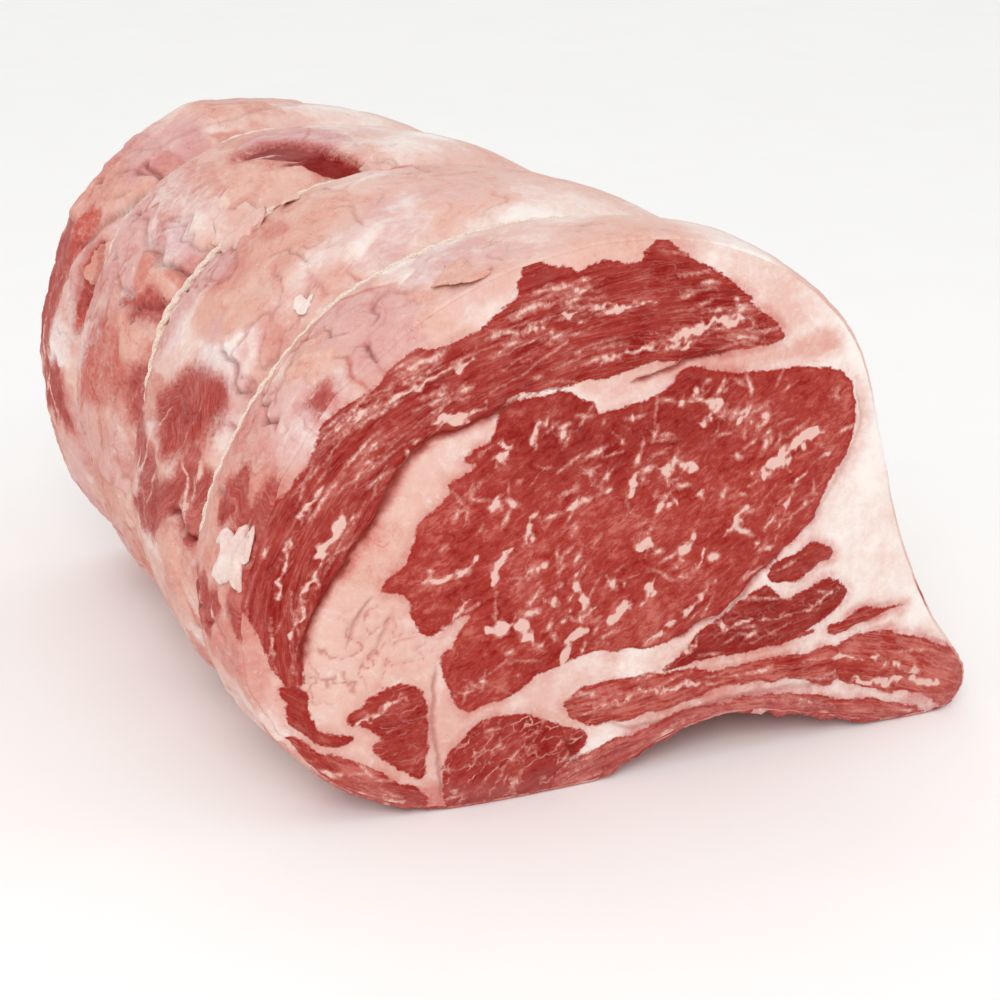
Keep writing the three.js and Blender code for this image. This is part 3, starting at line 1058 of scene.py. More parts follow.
PATCHES = (
    # Between the far tie and the far end.
    Patch(PEACH, ((144, 200), (139, 190), (135, 180), (133, 170), (145, 176), (152, 184)),
          1.6, 1.6, 1.0, 0.9),
    Patch(BLUSH, ((145, 178), (152, 180), (160, 188), (154, 192), (146, 186)), -0.8, 1.5, 0.9),
    Patch(LEAN, ((183, 197), (176, 190), (178, 180), (184, 178), (190, 176), (187, 190)),
          -0.5, 2.2, 0.8),
    Patch(LEAN, ((146, 197), (154, 192), (163, 188), (173, 188), (176, 200), (160, 204)),
          -0.4, 2.6, 0.7),
    Patch(LILAC, ((120, 172), (130, 172), (138, 180), (132, 192), (118, 190)), -0.3, 3.0, 0.8),
    Patch(PEACH, ((92, 196), (110, 182), (128, 186), (130, 204), (104, 206)), 0.9, 2.5, 0.7,
          0.4),
    # Between the middle tie and the far tie.
    Patch(LILAC, ((144, 134), (146, 118), (146, 98), (142, 84), (137, 92), (139, 120),
                         (140, 136)), -0.4, 1.2, 0.9, 0.6),
    Patch(LILAC, ((108, 150), (118, 147), (122, 136), (112, 128), (102, 126), (100, 134)),
          0.3, 1.6, 0.9, 0.2),
    Patch(LEAN, ((121, 139), (118, 131), (114, 123), (109, 115), (103, 112), (102, 119),
                        (106, 127), (110, 134), (115, 141)), -2.6, 1.2, 1.0, 0.2),
    Patch(PEACH, ((144, 150), (150, 148), (154, 132), (152, 112), (146, 112), (146, 132)),
          1.1, 1.3, 1.0, 0.8),
    Patch(BLUSH, ((130, 148), (136, 146), (137, 128), (132, 124), (128, 132)), -0.3, 3.4,
          0.35),
    Patch(LEAN, ((157, 132), (154, 125), (152, 119), (153, 112), (156, 115), (158, 122)),
          -0.9, 1.8, 0.7, 0.3),
    Patch(PEACH, ((162, 136), (159, 122), (160, 112), (167, 114), (168, 130)), 0.8, 1.6, 0.9,
          0.4),
    Patch(BLUSH, ((166, 150), (160, 140), (166, 120), (176, 120), (178, 144)), -0.3, 3.0, 0.7),
    Patch(LEAN, ((165, 116), (167, 104), (172, 90), (174, 76), (180, 66), (182, 80), (178, 98),
                        (173, 116)), -0.5, 3.0, 0.75),
    Patch(BLUSH, ((150, 172), (156, 170), (166, 171), (168, 176), (154, 178)), -1.2, 1.0, 1.0,
          0.6),
    Patch(LEAN, ((150, 174), (156, 173), (164, 173), (166, 176), (156, 177)), -0.6, 0.8, 0.8),
    # Between the near tie and the middle tie.
    Patch(LEAN, ((166, 86), (161, 80), (157, 66), (157, 54), (161, 51), (166, 54), (170, 62),
                        (171, 74)), -0.8, 2.2, 0.95, 0.2),
    Patch(LEAN, ((185, 94), (179, 76), (174, 60), (175, 53), (180, 58), (185, 74)), -0.6, 1.8,
          0.85),
    Patch(LEAN, ((170, 60), (172, 50), (180, 49), (183, 54), (178, 60)), -0.5, 2.0, 0.8),
    Patch(LILAC, ((150, 60), (155, 48), (163, 46), (160, 56), (155, 72)), -0.2, 2.2, 0.45),
    Patch(PEACH, ((128, 84), (140, 86), (152, 84), (150, 62), (136, 60), (126, 70)), 0.6, 2.6,
          0.9),
    Patch(PEACH, ((96, 84), (112, 84), (122, 80), (118, 66), (100, 66)), 0.4, 4.0, 0.7),
    Patch(PEACH, ((84, 100), (104, 100), (106, 52), (90, 52)), 0.0, 6.0, 0.7),
    Patch(LILAC, ((98, 62), (110, 58), (124, 58), (120, 66), (104, 70)), -0.2, 3.0, 0.4),
    # Between the cut face and the near tie.
    Patch(PEACH, ((130, 40), (146, 38), (150, 20), (142, 6), (130, 6), (126, 24)), 0.5, 2.8,
          0.8),
    Patch(LILAC, ((154, 34), (160, 30), (162, 12), (154, 4), (148, 12), (150, 26)), -0.4, 1.8,
          0.5, 0.3),
    Patch(BLUSH, ((160, 40), (172, 38), (182, 30), (184, 10), (170, 2), (158, 12)), 0.0, 4.0,
          0.3),
    Patch(LEAN, ((147, 10), (151, 11), (152, 6), (148, 5)), -0.1, 1.8, 0.75),
    Patch(LEAN, ((163, 9), (168, 10), (169, 3), (164, 2)), -0.3, 1.6, 0.9),
    Patch(LEAN, ((175, 19), (170, 14), (166, 6), (168, -2), (174, 0), (178, 6)), -0.8, 1.4,
          0.95),
    Patch(PEACH, ((186, 30), (186, 12), (192, 0), (206, 0), (204, 14), (196, 28)), 0.5, 2.4,
          0.6, 0.4),
    Patch(MARBLE, ((154, 118), (156, 60), (164, 44), (190, 44), (196, 90), (190, 130)), 0.0,
          3.0, 1.6),
    Patch(MARBLE, ((158, 44), (160, 4), (176, -4), (198, 6), (190, 40)), 0.0, 3.0, 1.6),
    Patch(MARBLE, ((144, 206), (150, 160), (170, 124), (196, 130), (200, 206)), 0.0, 3.0, 1.6),
    # Bared lean along the edge of the cut.
    Patch(LEAN, ((160, -6), (163, 3), (168, 6), (173, 9), (178, 7), (184, 12), (189, 6),
                        (196, 3), (199, -6)), 0.0, 1.4, 0.9),
    Patch(LEAN, ((204, -6), (209, 4), (216, 6), (226, 5), (228, -6)), 0.0, 1.6, 0.85),
    Patch(LEAN, ((186, 40), (183, 24), (187, 16), (190, 26), (191, 40)), -0.3, 1.8, 0.8),
    Patch(BLUSH, ((178, 44), (186, 40), (192, 20), (188, 8), (176, 14)), 0.0, 3.0, 0.3),
    Patch(LEAN, ((166, 22), (170, 26), (174, 22), (171, 14), (167, 16)), -0.2, 1.4, 0.9),
    Patch(LEAN, ((105, 99), (102, 94), (99, 95), (101, 101)), -1.4, 0.5, 1.0, 0.4),
    # The underside, where the ribs were cut away: bared lean between shallow hollows.
    Patch(LEAN, ((222, 6), (262, 4), (300, 6), (302, 20), (262, 24), (224, 20)), 0.3, 2.0,
          0.9),
    Patch(LEAN, ((224, 48), (262, 44), (304, 46), (304, 58), (262, 62), (226, 62)), 0.3, 2.0,
          0.85),
    Patch(LEAN, ((222, 88), (262, 86), (306, 84), (306, 98), (262, 102), (224, 102)), 0.3, 2.0,
          0.9),
    Patch(LEAN, ((226, 128), (262, 128), (306, 126), (304, 138), (262, 142), (226, 142)), 0.3,
          2.0, 0.85),
    Patch(LEAN, ((222, 170), (262, 168), (304, 168), (304, 182), (262, 184), (224, 184)), 0.3,
          2.0, 0.9),
    Patch(LEAN, ((-19, 2), (-14, 26), (-17, 60), (-13, 92), (-16, 128), (-14, 170),
                        (-18, 206), (-22, 150), (-21, 60)), 0.2, 4.0, 0.6),
)

CREASES = (
    Seam(((133, 182), (132, 176), (134, 160), (134, 152)), 1.6, 0.9, 0.5),
    Seam(((143, 157), (141, 151), (138, 148)), 2.2, 0.9, 0.8),
    Seam(((150, 174), (156, 172), (164, 172)), 2.0, 0.8, 0.8),
    Seam(((146, 132), (146, 114), (146, 94)), 1.4, 0.7, 0.45),
    Seam(((142, 135), (138, 112), (138, 92)), 0.8, 0.6, 0.3),
    Seam(((152, 64), (153, 54), (155, 47)), 1.6, 0.7, 0.55),
    Seam(((154, 33), (155, 24), (157, 16)), 2.0, 0.8, 0.7),
    Seam(((181, 62), (180, 55), (182, 50)), 2.4, 1.0, 0.95),
    Seam(((142, 31), (140, 20), (137, 16)), 1.1, 0.6, 0.5),
    Seam(((139, 12), (139, 4), (138, 3), (133, 2)), 1.4, 0.7, 0.7),
    Seam(((100, 116), (93, 116), (96, 98), (98, 80)), 0.9, 0.7, 0.25),
    Seam(((121, 78), (118, 70), (119, 60)), 0.7, 0.6, 0.25),
    Seam(((134, 76), (130, 68), (131, 60)), 0.8, 0.6, 0.3),
    Seam(((112, 40), (118, 34), (128, 32)), 0.6, 0.6, 0.25),
    Seam(((126, 22), (132, 18), (134, 12)), 0.9, 0.6, 0.4),
    Seam(((112, 108), (116, 104), (124, 104)), 0.8, 0.6, 0.3),
    Seam(((168, 34), (170, 26), (174, 22)), 1.2, 0.7, 0.5),
    Seam(((186, 40), (187, 26), (190, 12)), 1.0, 0.8, 0.3),
    Seam(((172, 140), (176, 132), (184, 128)), 1.0, 0.7, 0.4),
    Seam(((160, 164), (170, 158), (178, 160)), 1.0, 0.7, 0.4),
    Seam(((104, 168), (112, 166), (120, 168)), 1.0, 0.7, 0.4),
    Seam(((60, 120), (52, 112), (44, 114)), 0.6, 0.8, 0.15),
    Seam(((70, 74), (62, 66), (60, 60)), 0.6, 0.8, 0.15),
)


@dataclass(frozen=True)
class Swell:
    """A broad rise or dip: where it is, its half widths round and along, its height."""

    angle: float
    distance: float
    round_it: float
    along: float
    height: float


SWELLS = (
    Swell(138, 190, 26, 26, -3.4), Swell(150, 196, 16, 14, -1.0), Swell(84, 138, 34, 26, 1.3),
    Swell(60, 4, 40, 22, 1.2), Swell(14, 4, 46, 30, 1.5), Swell(74, 29, 34, 11, -1.7),
    Swell(172, 150, 22, 16, 1.4),
    Swell(116, 195, 6, 10, 1.6), Swell(127, 188, 4, 8, -1.6), Swell(135, 186, 5, 9, 1.4),
    Swell(141, 190, 4, 8, -1.4), Swell(148, 192, 6, 10, 1.6), Swell(160, 190, 6, 10, -1.0),
    Swell(172, 192, 8, 10, 1.2),
    Swell(170, 78, 26, 18, 0.9), Swell(143, 24, 18, 14, 0.8), Swell(120, 88, 30, 14, 0.8),
    Swell(112, 178, 24, 10, 1.0), Swell(180, 196, 24, 14, 1.2), Swell(196, 110, 20, 60, -1.2),
)


@dataclass(frozen=True)
class SkinSize:
    """Relief of the skin, in mm."""

    lumps: float = 0.9
    lobules: float = 0.75
    groove: float = 0.9
    wrinkles: float = 0.55
    short_creases: int = 90
    rim_round: float = 0.9
    rim_steps: int = 5
    tuck: float = 0.5


class Skin:
    """The outside of the roast between its two faces, made as bands that meet at the ties."""

    def __init__(self, form: Form, size: SkinSize, seed: int) -> None:
        self.form = form
        self.size = size
        self.clouds = Clouds(seed)
        self.random = np.random.default_rng(seed)
        self.place = form.points
        warp = np.stack(
            [self.clouds.fractal(self.place + shift, 9.0, 4) for shift in (0.0, 53.0)], -1
        )
        self.canvas = Canvas(form.flat + 1.5 * warp)
        self.height = np.zeros(form.points.shape[:2])
        self.looks = Looks.plain(form.points.shape[:2])
        self.looks.soft += 0.8
        self.first = int(size.rim_round / form.size.row_step) + 1
        self.last = form.rows - 1 - self.first
        self._grain()

    def _grain(self) -> None:
        """Fibres run round the lobe's side and lengthwise under the roast."""
        flat = self.form.flat
        angle = self.form.angles
        turn = smooth(angle, 200, 225) * math.pi / 2
        turn = np.where(angle < 0, math.pi / 2, turn)
        turn = turn + 0.35 * self.clouds.fractal(self.place, 60.0, 2)
        wide = soften(turn, 12, 0, False)
        across, along = flat[..., 0], flat[..., 1]
        self.looks.grain = np.stack(
            [across * np.cos(wide) + along * np.sin(wide),
             along * np.cos(wide) - across * np.sin(wide),
             np.full(across.shape, 5.0)], -1
        )
        self.looks.streak[:] = 0.55

    def add_relief(self) -> None:
        """Lumps and lobules of fat, and the pull of the twine."""
        size = self.size
        angle, level = self.form.angles, self.form.levels[:, None]
        side = smooth(angle, 100, 150) * smooth(-angle, -240, -200)
        self.height += size.lumps * self.clouds.fractal(self.place, 30.0, 2) * (0.5 + 0.7 * side)
        billow = np.abs(self.clouds.fractal(self.place, 11.0, 3))
        self.height += size.lobules * (np.minimum(billow, 0.7) - 0.3) * (0.35 + 0.75 * side)
        self.height += 0.16 * self.clouds.fractal(self.place, 3.0, 2) * (0.5 + side)
        for span, depth in ((24.0, 0.5), (11.0, 0.2)):
            net = np.abs(self.clouds.fractal(self.place + span, span, 4))
            patchy = smooth(self.clouds.fractal(self.place - span, span, 2), -0.1, 0.5)
            line = bell(net, 0.045) * patchy * (0.25 + 0.75 * side)
            self.height -= depth * line
            # Painted shade in the net of fine grooves.
            self.looks.crevice_shade = np.maximum(self.looks.crevice_shade, 0.5 * depth * line**2)
            self.looks.blush = np.maximum(self.looks.blush, 0.4 * bell(net, 0.06) * patchy * side)
        pull = np.stack([self.form.flat[..., 0] / 2.6, self.form.flat[..., 1] / 16], -1)
        pleats = self.clouds.fractal(in_space(pull, 2.0), 1.0, 2)
        grip = 0.2 + 0.8 * smooth(angle, 98, 122) + 0.5 * smooth(-angle, -60, -40)
        for tie in TIES:
            away = np.abs(level - tie.distance)
            self.height -= size.groove * bell(away, 1.9) * grip
            self.height += 0.45 * bell(away - 4.5, 2.4) * grip
            self.height += size.wrinkles * pleats * bell(away, 9.0) * smooth(away, 0.3, 3.0)
        fibres = self.clouds.fractal(self.looks.grain / (9.0, 1.3, 1.0), 1.0, 2)
        bare = smooth(angle, 150, 165) * smooth(-angle, -205, -190) + smooth(angle, 214, 230)
        self.height += 0.22 * bare * fibres

    def add_sheets(self) -> None:
        """Torn sheets of fat and membrane, each a little different from its neighbours."""
        looks, angle = self.looks, self.form.angles
        side = smooth(angle, 78, 125) * smooth(-angle, -236, -208)
        patchy = smooth(self.clouds.fractal(self.place + 300, 19.0, 3), 0.0, 0.6)
        shift = self.clouds.fractal(self.place + 70, 24.0, 3)[..., None] * (7.0, -5.0)
        for number, (span, rise) in enumerate(((25.0, 0.6), (12.0, 0.0))):
            tint, edge = patchwork(self.canvas.flat + shift, span, 5 + number)
            self.height += rise * side * (tint[..., 0] - 0.35) * smooth(edge, 0.0, 2.2)
            within = side * smooth(edge, -0.2, 1.2)
            shift_by = 0.5 * (tint[..., 1] - 0.5) * side * smooth(edge, -0.1, 1.2)
            looks.peach = np.clip(looks.peach + shift_by, 0, 1)
            looks.lilac = np.maximum(looks.lilac, 0.45 * (tint[..., 2] > 0.86) * within)
            blush = 0.4 * (tint[..., 2] < 0.1) * within
            open_edge = bell(edge, 0.6) * side * patchy * (0.4 + 0.6 * (number == 0))
            looks.blush = np.maximum(looks.blush, np.maximum(blush, 0.6 * open_edge))
            # Painted shade along the open edges of the sheets.
            looks.crevice_shade = np.maximum(looks.crevice_shade, 0.22 * bell(edge, 0.45) * open_edge)

    def add_strands(self, count: int) -> None:
        """Pale strands of membrane that cross the bared lean.

        Args:
            count: How many to try; those away from lean are left out.
        """
        rows, columns = self.looks.lean.shape
        for _ in range(count):
            row, column = self.random.integers(0, rows), self.random.integers(0, columns)
            if self.looks.lean[row, column] < -1.5 or self.form.angles[row, column] < 90:
                continue
            heading = self.random.normal(0.0, 0.35)
            spot = self.form.flat[row, column].copy()
            line = [spot]
            for _ in range(self.random.integers(3, 7)):
                heading += self.random.normal(0.0, 0.3)
                line.append(line[-1] + 4.0 * np.array([math.cos(heading), math.sin(heading)]))
            width = self.random.uniform(0.25, 0.9)
            gap, along, _, _ = self.canvas.stroke(np.array(line), 3.0)
            ends = smooth(along, 0, 5.0) * smooth(along.max() - along, 0, 5.0)
            self.looks.fleck = np.maximum(self.looks.fleck, width * ends - gap)
            self.height += 0.3 * width * ends * bell(gap, 1.2 * width)

    def add_swells(self, swells: Sequence[Swell]) -> None:
        """Raises or lowers broad areas."""
        for swell in swells:
            away = self.form.flat - self.form.place([(swell.angle, swell.distance)])[0]
            share = bell(away[..., 0], swell.round_it) * bell(away[..., 1], swell.along)
            self.height += swell.height * share

    def add_patches(self, patches: Sequence[Patch]) -> None:
        """Lays the patches over the skin."""
        looks = self.looks
        for patch in patches:
            depth = self.canvas.inside(self.form.place(patch.outline))
            share = smooth(depth, -patch.edge, patch.edge)
            self.height += patch.rise * share
            self.height -= patch.crease * bell(depth + 0.6, 0.9)
            # Painted shade in the crease round the patch.
            shade = 0.5 * min(patch.crease, 1.0) * bell(depth + 0.6, 0.6)
            looks.crevice_shade = np.maximum(looks.crevice_shade, shade)
            if patch.tissue is LEAN:
                nearer = depth > looks.lean
                looks.lean = np.where(nearer, depth, looks.lean)
                looks.soft = np.where(nearer & (depth > -6), patch.edge, looks.soft)
                near = nearer & (depth > -3)
                looks.tone = np.where(near, min(0.2, 0.5 + 0.5 * patch.rise), looks.tone)
                looks.streak = np.where(near & (patch.rise < -2), 0.1, looks.streak)
                looks.net = np.where(near, 0.2 * (patch.rise > -1), looks.net)
                looks.lilac = np.maximum(looks.lilac, (1 - patch.amount) * 2 * share)
                continue
            field = getattr(looks, patch.tissue.value)
            setattr(looks, patch.tissue.value, np.maximum(field, patch.amount * share))

    def add_tints(self) -> None:
        """Broad changes of colour: cream on top, pinker down the lobe's side."""
        looks, angle = self.looks, self.form.angles
        side = smooth(angle, 92, 150) * smooth(-angle, -300, -190)
        drift = self.clouds.fractal(self.place, 26.0, 3)
        looks.peach = np.maximum(looks.peach, np.clip(0.42 + 0.16 * side + 0.4 * drift, 0, 1))
        drift = self.clouds.fractal(self.place + 90, 17.0, 3)
        looks.blush = np.maximum(looks.blush, np.clip(0.4 * side * (drift + 0.02), 0, 1))
        drift = self.clouds.fractal(self.place + 190, 21.0, 3)
        looks.lilac = np.maximum(0.7 * looks.lilac, np.clip(0.45 * side * (drift - 0.1), 0, 0.5))
        under = smooth(angle, 212, 226)
        looks.blush = np.maximum(looks.blush, 0.5 * under)
        looks.lilac = np.maximum(looks.lilac, 0.45 * under)
        near = smooth(-looks.lean, -1.0, 5.0)
        looks.blush = np.maximum(looks.blush, 0.6 * (1 - near) * (looks.lean > -5))

    def add_creases(self, creases: Sequence[Seam]) -> None:
        """Presses the drawn creases in, then short random ones, and paints shade into each."""
        drawn = [
            (self.form.place(seam.line), seam.depth, seam.width, seam.dark) for seam in creases
        ]
        for _ in range(self.size.short_creases):
            angle = self.random.uniform(88, 205)
            start = self.form.place([(angle, self.random.uniform(2, 205))])[0]
            heading = self.random.uniform(0, 2 * math.pi)
            line = [start]
            for _ in range(self.random.integers(2, 5)):
                heading += self.random.uniform(-0.7, 0.7)
                step = self.random.uniform(1.6, 3.6)
                line.append(line[-1] + step * np.array([math.cos(heading), math.sin(heading)]))
            depth = self.random.uniform(0.25, 0.8)
            drawn.append((np.array(line), depth, 0.55, 0.3 * depth))
        for line, depth, width, dark in drawn:
            gap, along, side, _ = self.canvas.stroke(line, 5.0)
            ends = smooth(along, 0, 2.5) * smooth(along.max() - along, 0, 2.5)
            self.height -= depth * ends * bell(gap, width)
            self.height += 0.35 * depth * ends * bell(gap - 1.6 * width, width) * (side > 0)
            # Painted shade in the crease.
            self.looks.crevice_shade = np.maximum(self.looks.crevice_shade, dark * ends * bell(gap, 0.6 * width))

    def settle(self) -> Array:
        """The skin's points, moved in and out by the relief and kept above the table."""
        edge = smooth(self.form.levels, 0, 2.0) * smooth(-self.form.levels, -209, -206)
        height = self.height * (0.35 + 0.65 * edge[:, None])
        points = self.form.points + self.form.out * height[..., None]
        points[..., 2] = np.maximum(points[..., 2], 0.05)
        return points

    def rim(self, points: Array, outward: float) -> Array:
        """Rows that roll an edge of the skin over onto a face.

        Args:
            points: The ring of points at the edge.
            outward: Which way the face looks along Y.

        Returns:
            The rows, the one next to the edge first; the last one hides behind the face.
        """
        steps = self.size.rim_steps
        ring = points[:, [0, 2]]
        along = np.roll(ring, -3, 0) - np.roll(ring, 3, 0)
        inward = np.stack([-along[:, 1], along[:, 0]], -1)
        inward /= np.linalg.norm(inward, axis=1, keepdims=True)
        inward = soften(inward, 5, 0, True)
        radius = self.size.rim_round
        rows = []
        for step in range(1, steps + 1):
            turn = step / steps * math.pi / 2
            row = points.copy()
            row[:, [0, 2]] += inward * radius * (1 - math.cos(turn))
            row[:, 1] += outward * radius * math.sin(turn)
            rows.append(row)
        tucked = rows[-1].copy()
        tucked[:, [0, 2]] += inward * 0.8
        tucked[:, 1] -= outward * 3.0
        return np.stack(rows + [tucked])

    def build(self, name: str, points: Array, start: int, end: int) -> bpy.types.Object:
        """Makes one closed band.

        Args:
            name: Name of the piece.
            points: The settled points of the whole skin.
            start: First row of the band.
            end: Last row of the band.

        Returns:
            The piece.
        """
        size, last = self.size, self.last
        rows = list(range(start, end + 1))
        body = [points[start : end + 1]]
        for edge, row, outward in (("front", start, -1.0), ("back", end, 1.0)):
            if row == (self.first if edge == "front" else last):
                extra = self.rim(points[row], outward)
            else:
                beside = row + int(outward)
                extra = (points[beside] - self.form.out[beside] * size.tuck)[None]
            if edge == "front":
                body.insert(0, extra[::-1])
                rows = [row] * len(extra) + rows
            else:
                body.append(extra)
                rows = rows + [row] * len(extra)
        sheet = np.concatenate(body)
        every, faces = closed_sheet(sheet, np.stack([sheet[0].mean(0), sheet[-1].mean(0)]))
        sharp_rows = np.zeros(sheet.shape[:2], bool)
        sharp_rows[[0, -1]] = True
        sharp_rows[1] |= start > self.first
        sharp_rows[-2] |= end < last
        sharp = np.r_[sharp_rows.ravel(), False, False]
        return make_mesh(name, every, faces, self.looks.pick(np.array(rows)).fields(2), sharp)


# ---------------------------------------------------------------------------------------
# Small loose flaps of fat
# ---------------------------------------------------------------------------------------


@dataclass(frozen=True)
class FlapSize:
    """A thin flap of fat that lies on the skin.

    Attributes:
        outline: Its edge as (angle, distance).
        free: Which way its free edge points, as (round, along).
        thickness: In mm.
        curl: How far the free edge stands up, in mm.
        peach: How peach it is, from 0 to 1.
    """

    outline: Spots
    free: tuple[float, float]
    thickness: float = 1.1
    curl: float = 1.6
    peach: float = 0.7


FLAPS = (
    FlapSize(((138, 112), (135, 117), (131, 119), (127, 117), (126, 108), (127, 98), (130, 92),
              (134, 94), (137, 94), (137, 104)), (-1.0, -0.3), 2.6, 2.4, 0.4),
    FlapSize(((181, 19), (178, 18), (176, 21), (174, 15), (172, 13), (174, 9), (171, 5), (175, 5),
              (178, 8), (182, 7), (181, 13)), (-0.6, -0.8), 1.7, 1.7, 0.05),
    FlapSize(((121, 8), (118, 13), (115, 13), (113, 8), (113, 2), (116, 1), (119, 3)),
             (0.6, -1.0), 1.4, 2.0, 0.9),
    FlapSize(((139, 51), (137, 52), (135, 50), (137, 48)), (1.0, 0.0), 0.7, 0.8, 0.0),
    FlapSize(((124, 98), (121, 97), (121, 92), (124, 92)), (0.5, -0.5), 0.9, 0.9, 0.4),
    FlapSize(((103, 114), (97, 116), (93, 112), (96, 108), (101, 109)), (1.0, 0.4), 1.2, 1.2, 0.5),
    FlapSize(((158, 176), (151, 176), (148, 170), (152, 167), (158, 170)), (0.4, 1.0), 1.2, 1.2, 1.0),
)


class Flap:
    """One loose flap of fat, built against the settled skin."""

    RINGS = 26
    AROUND = 96

    def __init__(self, form: Form, points: Array, looks: Looks, size: FlapSize, seed: int) -> None:
        self.form = form
        self.points = points
        self.skin_looks = looks
        self.size = size
        self.clouds = Clouds(seed)

    def _on_skin(self, flat: Array, grid: Array) -> Array:
        """Values of a grid of the skin at flat places, between its points too."""
        step = self.form.flat[0, 1, 0]
        column = flat[..., 0] / step
        row = np.clip(flat[..., 1] / self.form.size.row_step, 0, self.form.rows - 1.001)
        r, c = np.floor(row).astype(int), np.floor(column).astype(int)
        a, b = (row - r), (column - c)
        if grid.ndim == 3:
            a, b = a[..., None], b[..., None]
        wrap = self.form.size.columns
        near = grid[r, c % wrap] * (1 - b) + grid[r, (c + 1) % wrap] * b
        far = grid[r + 1, c % wrap] * (1 - b) + grid[r + 1, (c + 1) % wrap] * b
        return near * (1 - a) + far * a

    def build(self, name: str) -> bpy.types.Object:
        """Makes the closed flap.

        Args:
            name: Name of the piece.

        Returns:
            The piece.
        """
        size = self.size
        corners = self.form.place(size.outline)
        edge = curve(corners, True, 24)
        edge = resample(np.vstack([edge, edge[:1]]), self.AROUND + 1)[:-1]
        middle = edge.mean(0)
        share = np.linspace(0, 1, self.RINGS + 1)[1:] ** 0.8
        flat = middle + share[:, None, None] * (edge - middle)
        wave = self.clouds.fractal(in_space(flat, 1.0), 4.0, 3)
        frayed = self.clouds.fractal(in_space(flat, 4.0), 1.9, 3)
        heading = (edge - middle) / np.linalg.norm(edge - middle, axis=1, keepdims=True)
        ragged = (1.3 * wave + 0.8 * frayed)[..., None] * share[:, None, None] ** 2
        flat = flat + ragged * heading[None]
        free = np.array(size.free) / np.hypot(*size.free)
        reach = (flat - middle) @ free
        lift = size.curl * smooth(reach / np.abs(reach).max(), -0.1, 1.0) ** 1.5
        lift = lift + 0.3 * wave
        body = size.thickness * np.sqrt(np.clip(1 - share**3, 0, 1))[:, None]
        base = self._on_skin(flat, self.points)
        out = self._on_skin(flat, self.form.out)
        upper = base + out * (lift + 0.15 + 0.7 * body)[..., None]
        lower = base + out * (lift + 0.15 - 0.5 * body)[..., None]
        crown = base[0].mean(0) + out[0].mean(0) * (lift[0].mean() + 0.7 * size.thickness)
        floor = base[0].mean(0) + out[0].mean(0) * (lift[0].mean() - 0.5 * size.thickness)
        sheet = np.concatenate([upper, lower[-2::-1]])
        every, faces = closed_sheet(sheet, np.stack([crown, floor]))
        looks = Looks.plain(sheet.shape[:2])
        both = np.concatenate([flat, flat[-2::-1]])
        looks.peach[:] = 0.8 * size.peach + 0.2 * self._on_skin(both, self.skin_looks.peach)
        looks.blush = 0.25 * self._on_skin(both, self.skin_looks.blush)
        looks.grain = sheet.copy()
        return make_mesh(name, every, faces, looks.fields(2))


@dataclass(frozen=True)
class FringeSize:
    """A torn edge along part of the cut's rim.

    Attributes:
        start: Angle at which it starts.
        end: Angle at which it ends.
        reach: How far it lies over the face, in mm; below zero it hangs outwards.
        fray: How much its edge wanders, in mm.
        lean: Whether it is lean rather than fat.
        thickness: In mm.
    """

    start: float
    end: float
    reach: float
    fray: float
    lean: bool = False
    thickness: float = 0.7


FRINGES = (
    FringeSize(196, 214, 0.2, 1.5, False, 0.5),
    FringeSize(224, 250, -0.4, 1.7, True, 0.9), FringeSize(236, 270, -0.6, 2.1, True, 1.0),
    FringeSize(258, 304, -0.6, 2.3, True, 1.1), FringeSize(292, 336, -0.6, 2.3, True, 1.1),
)


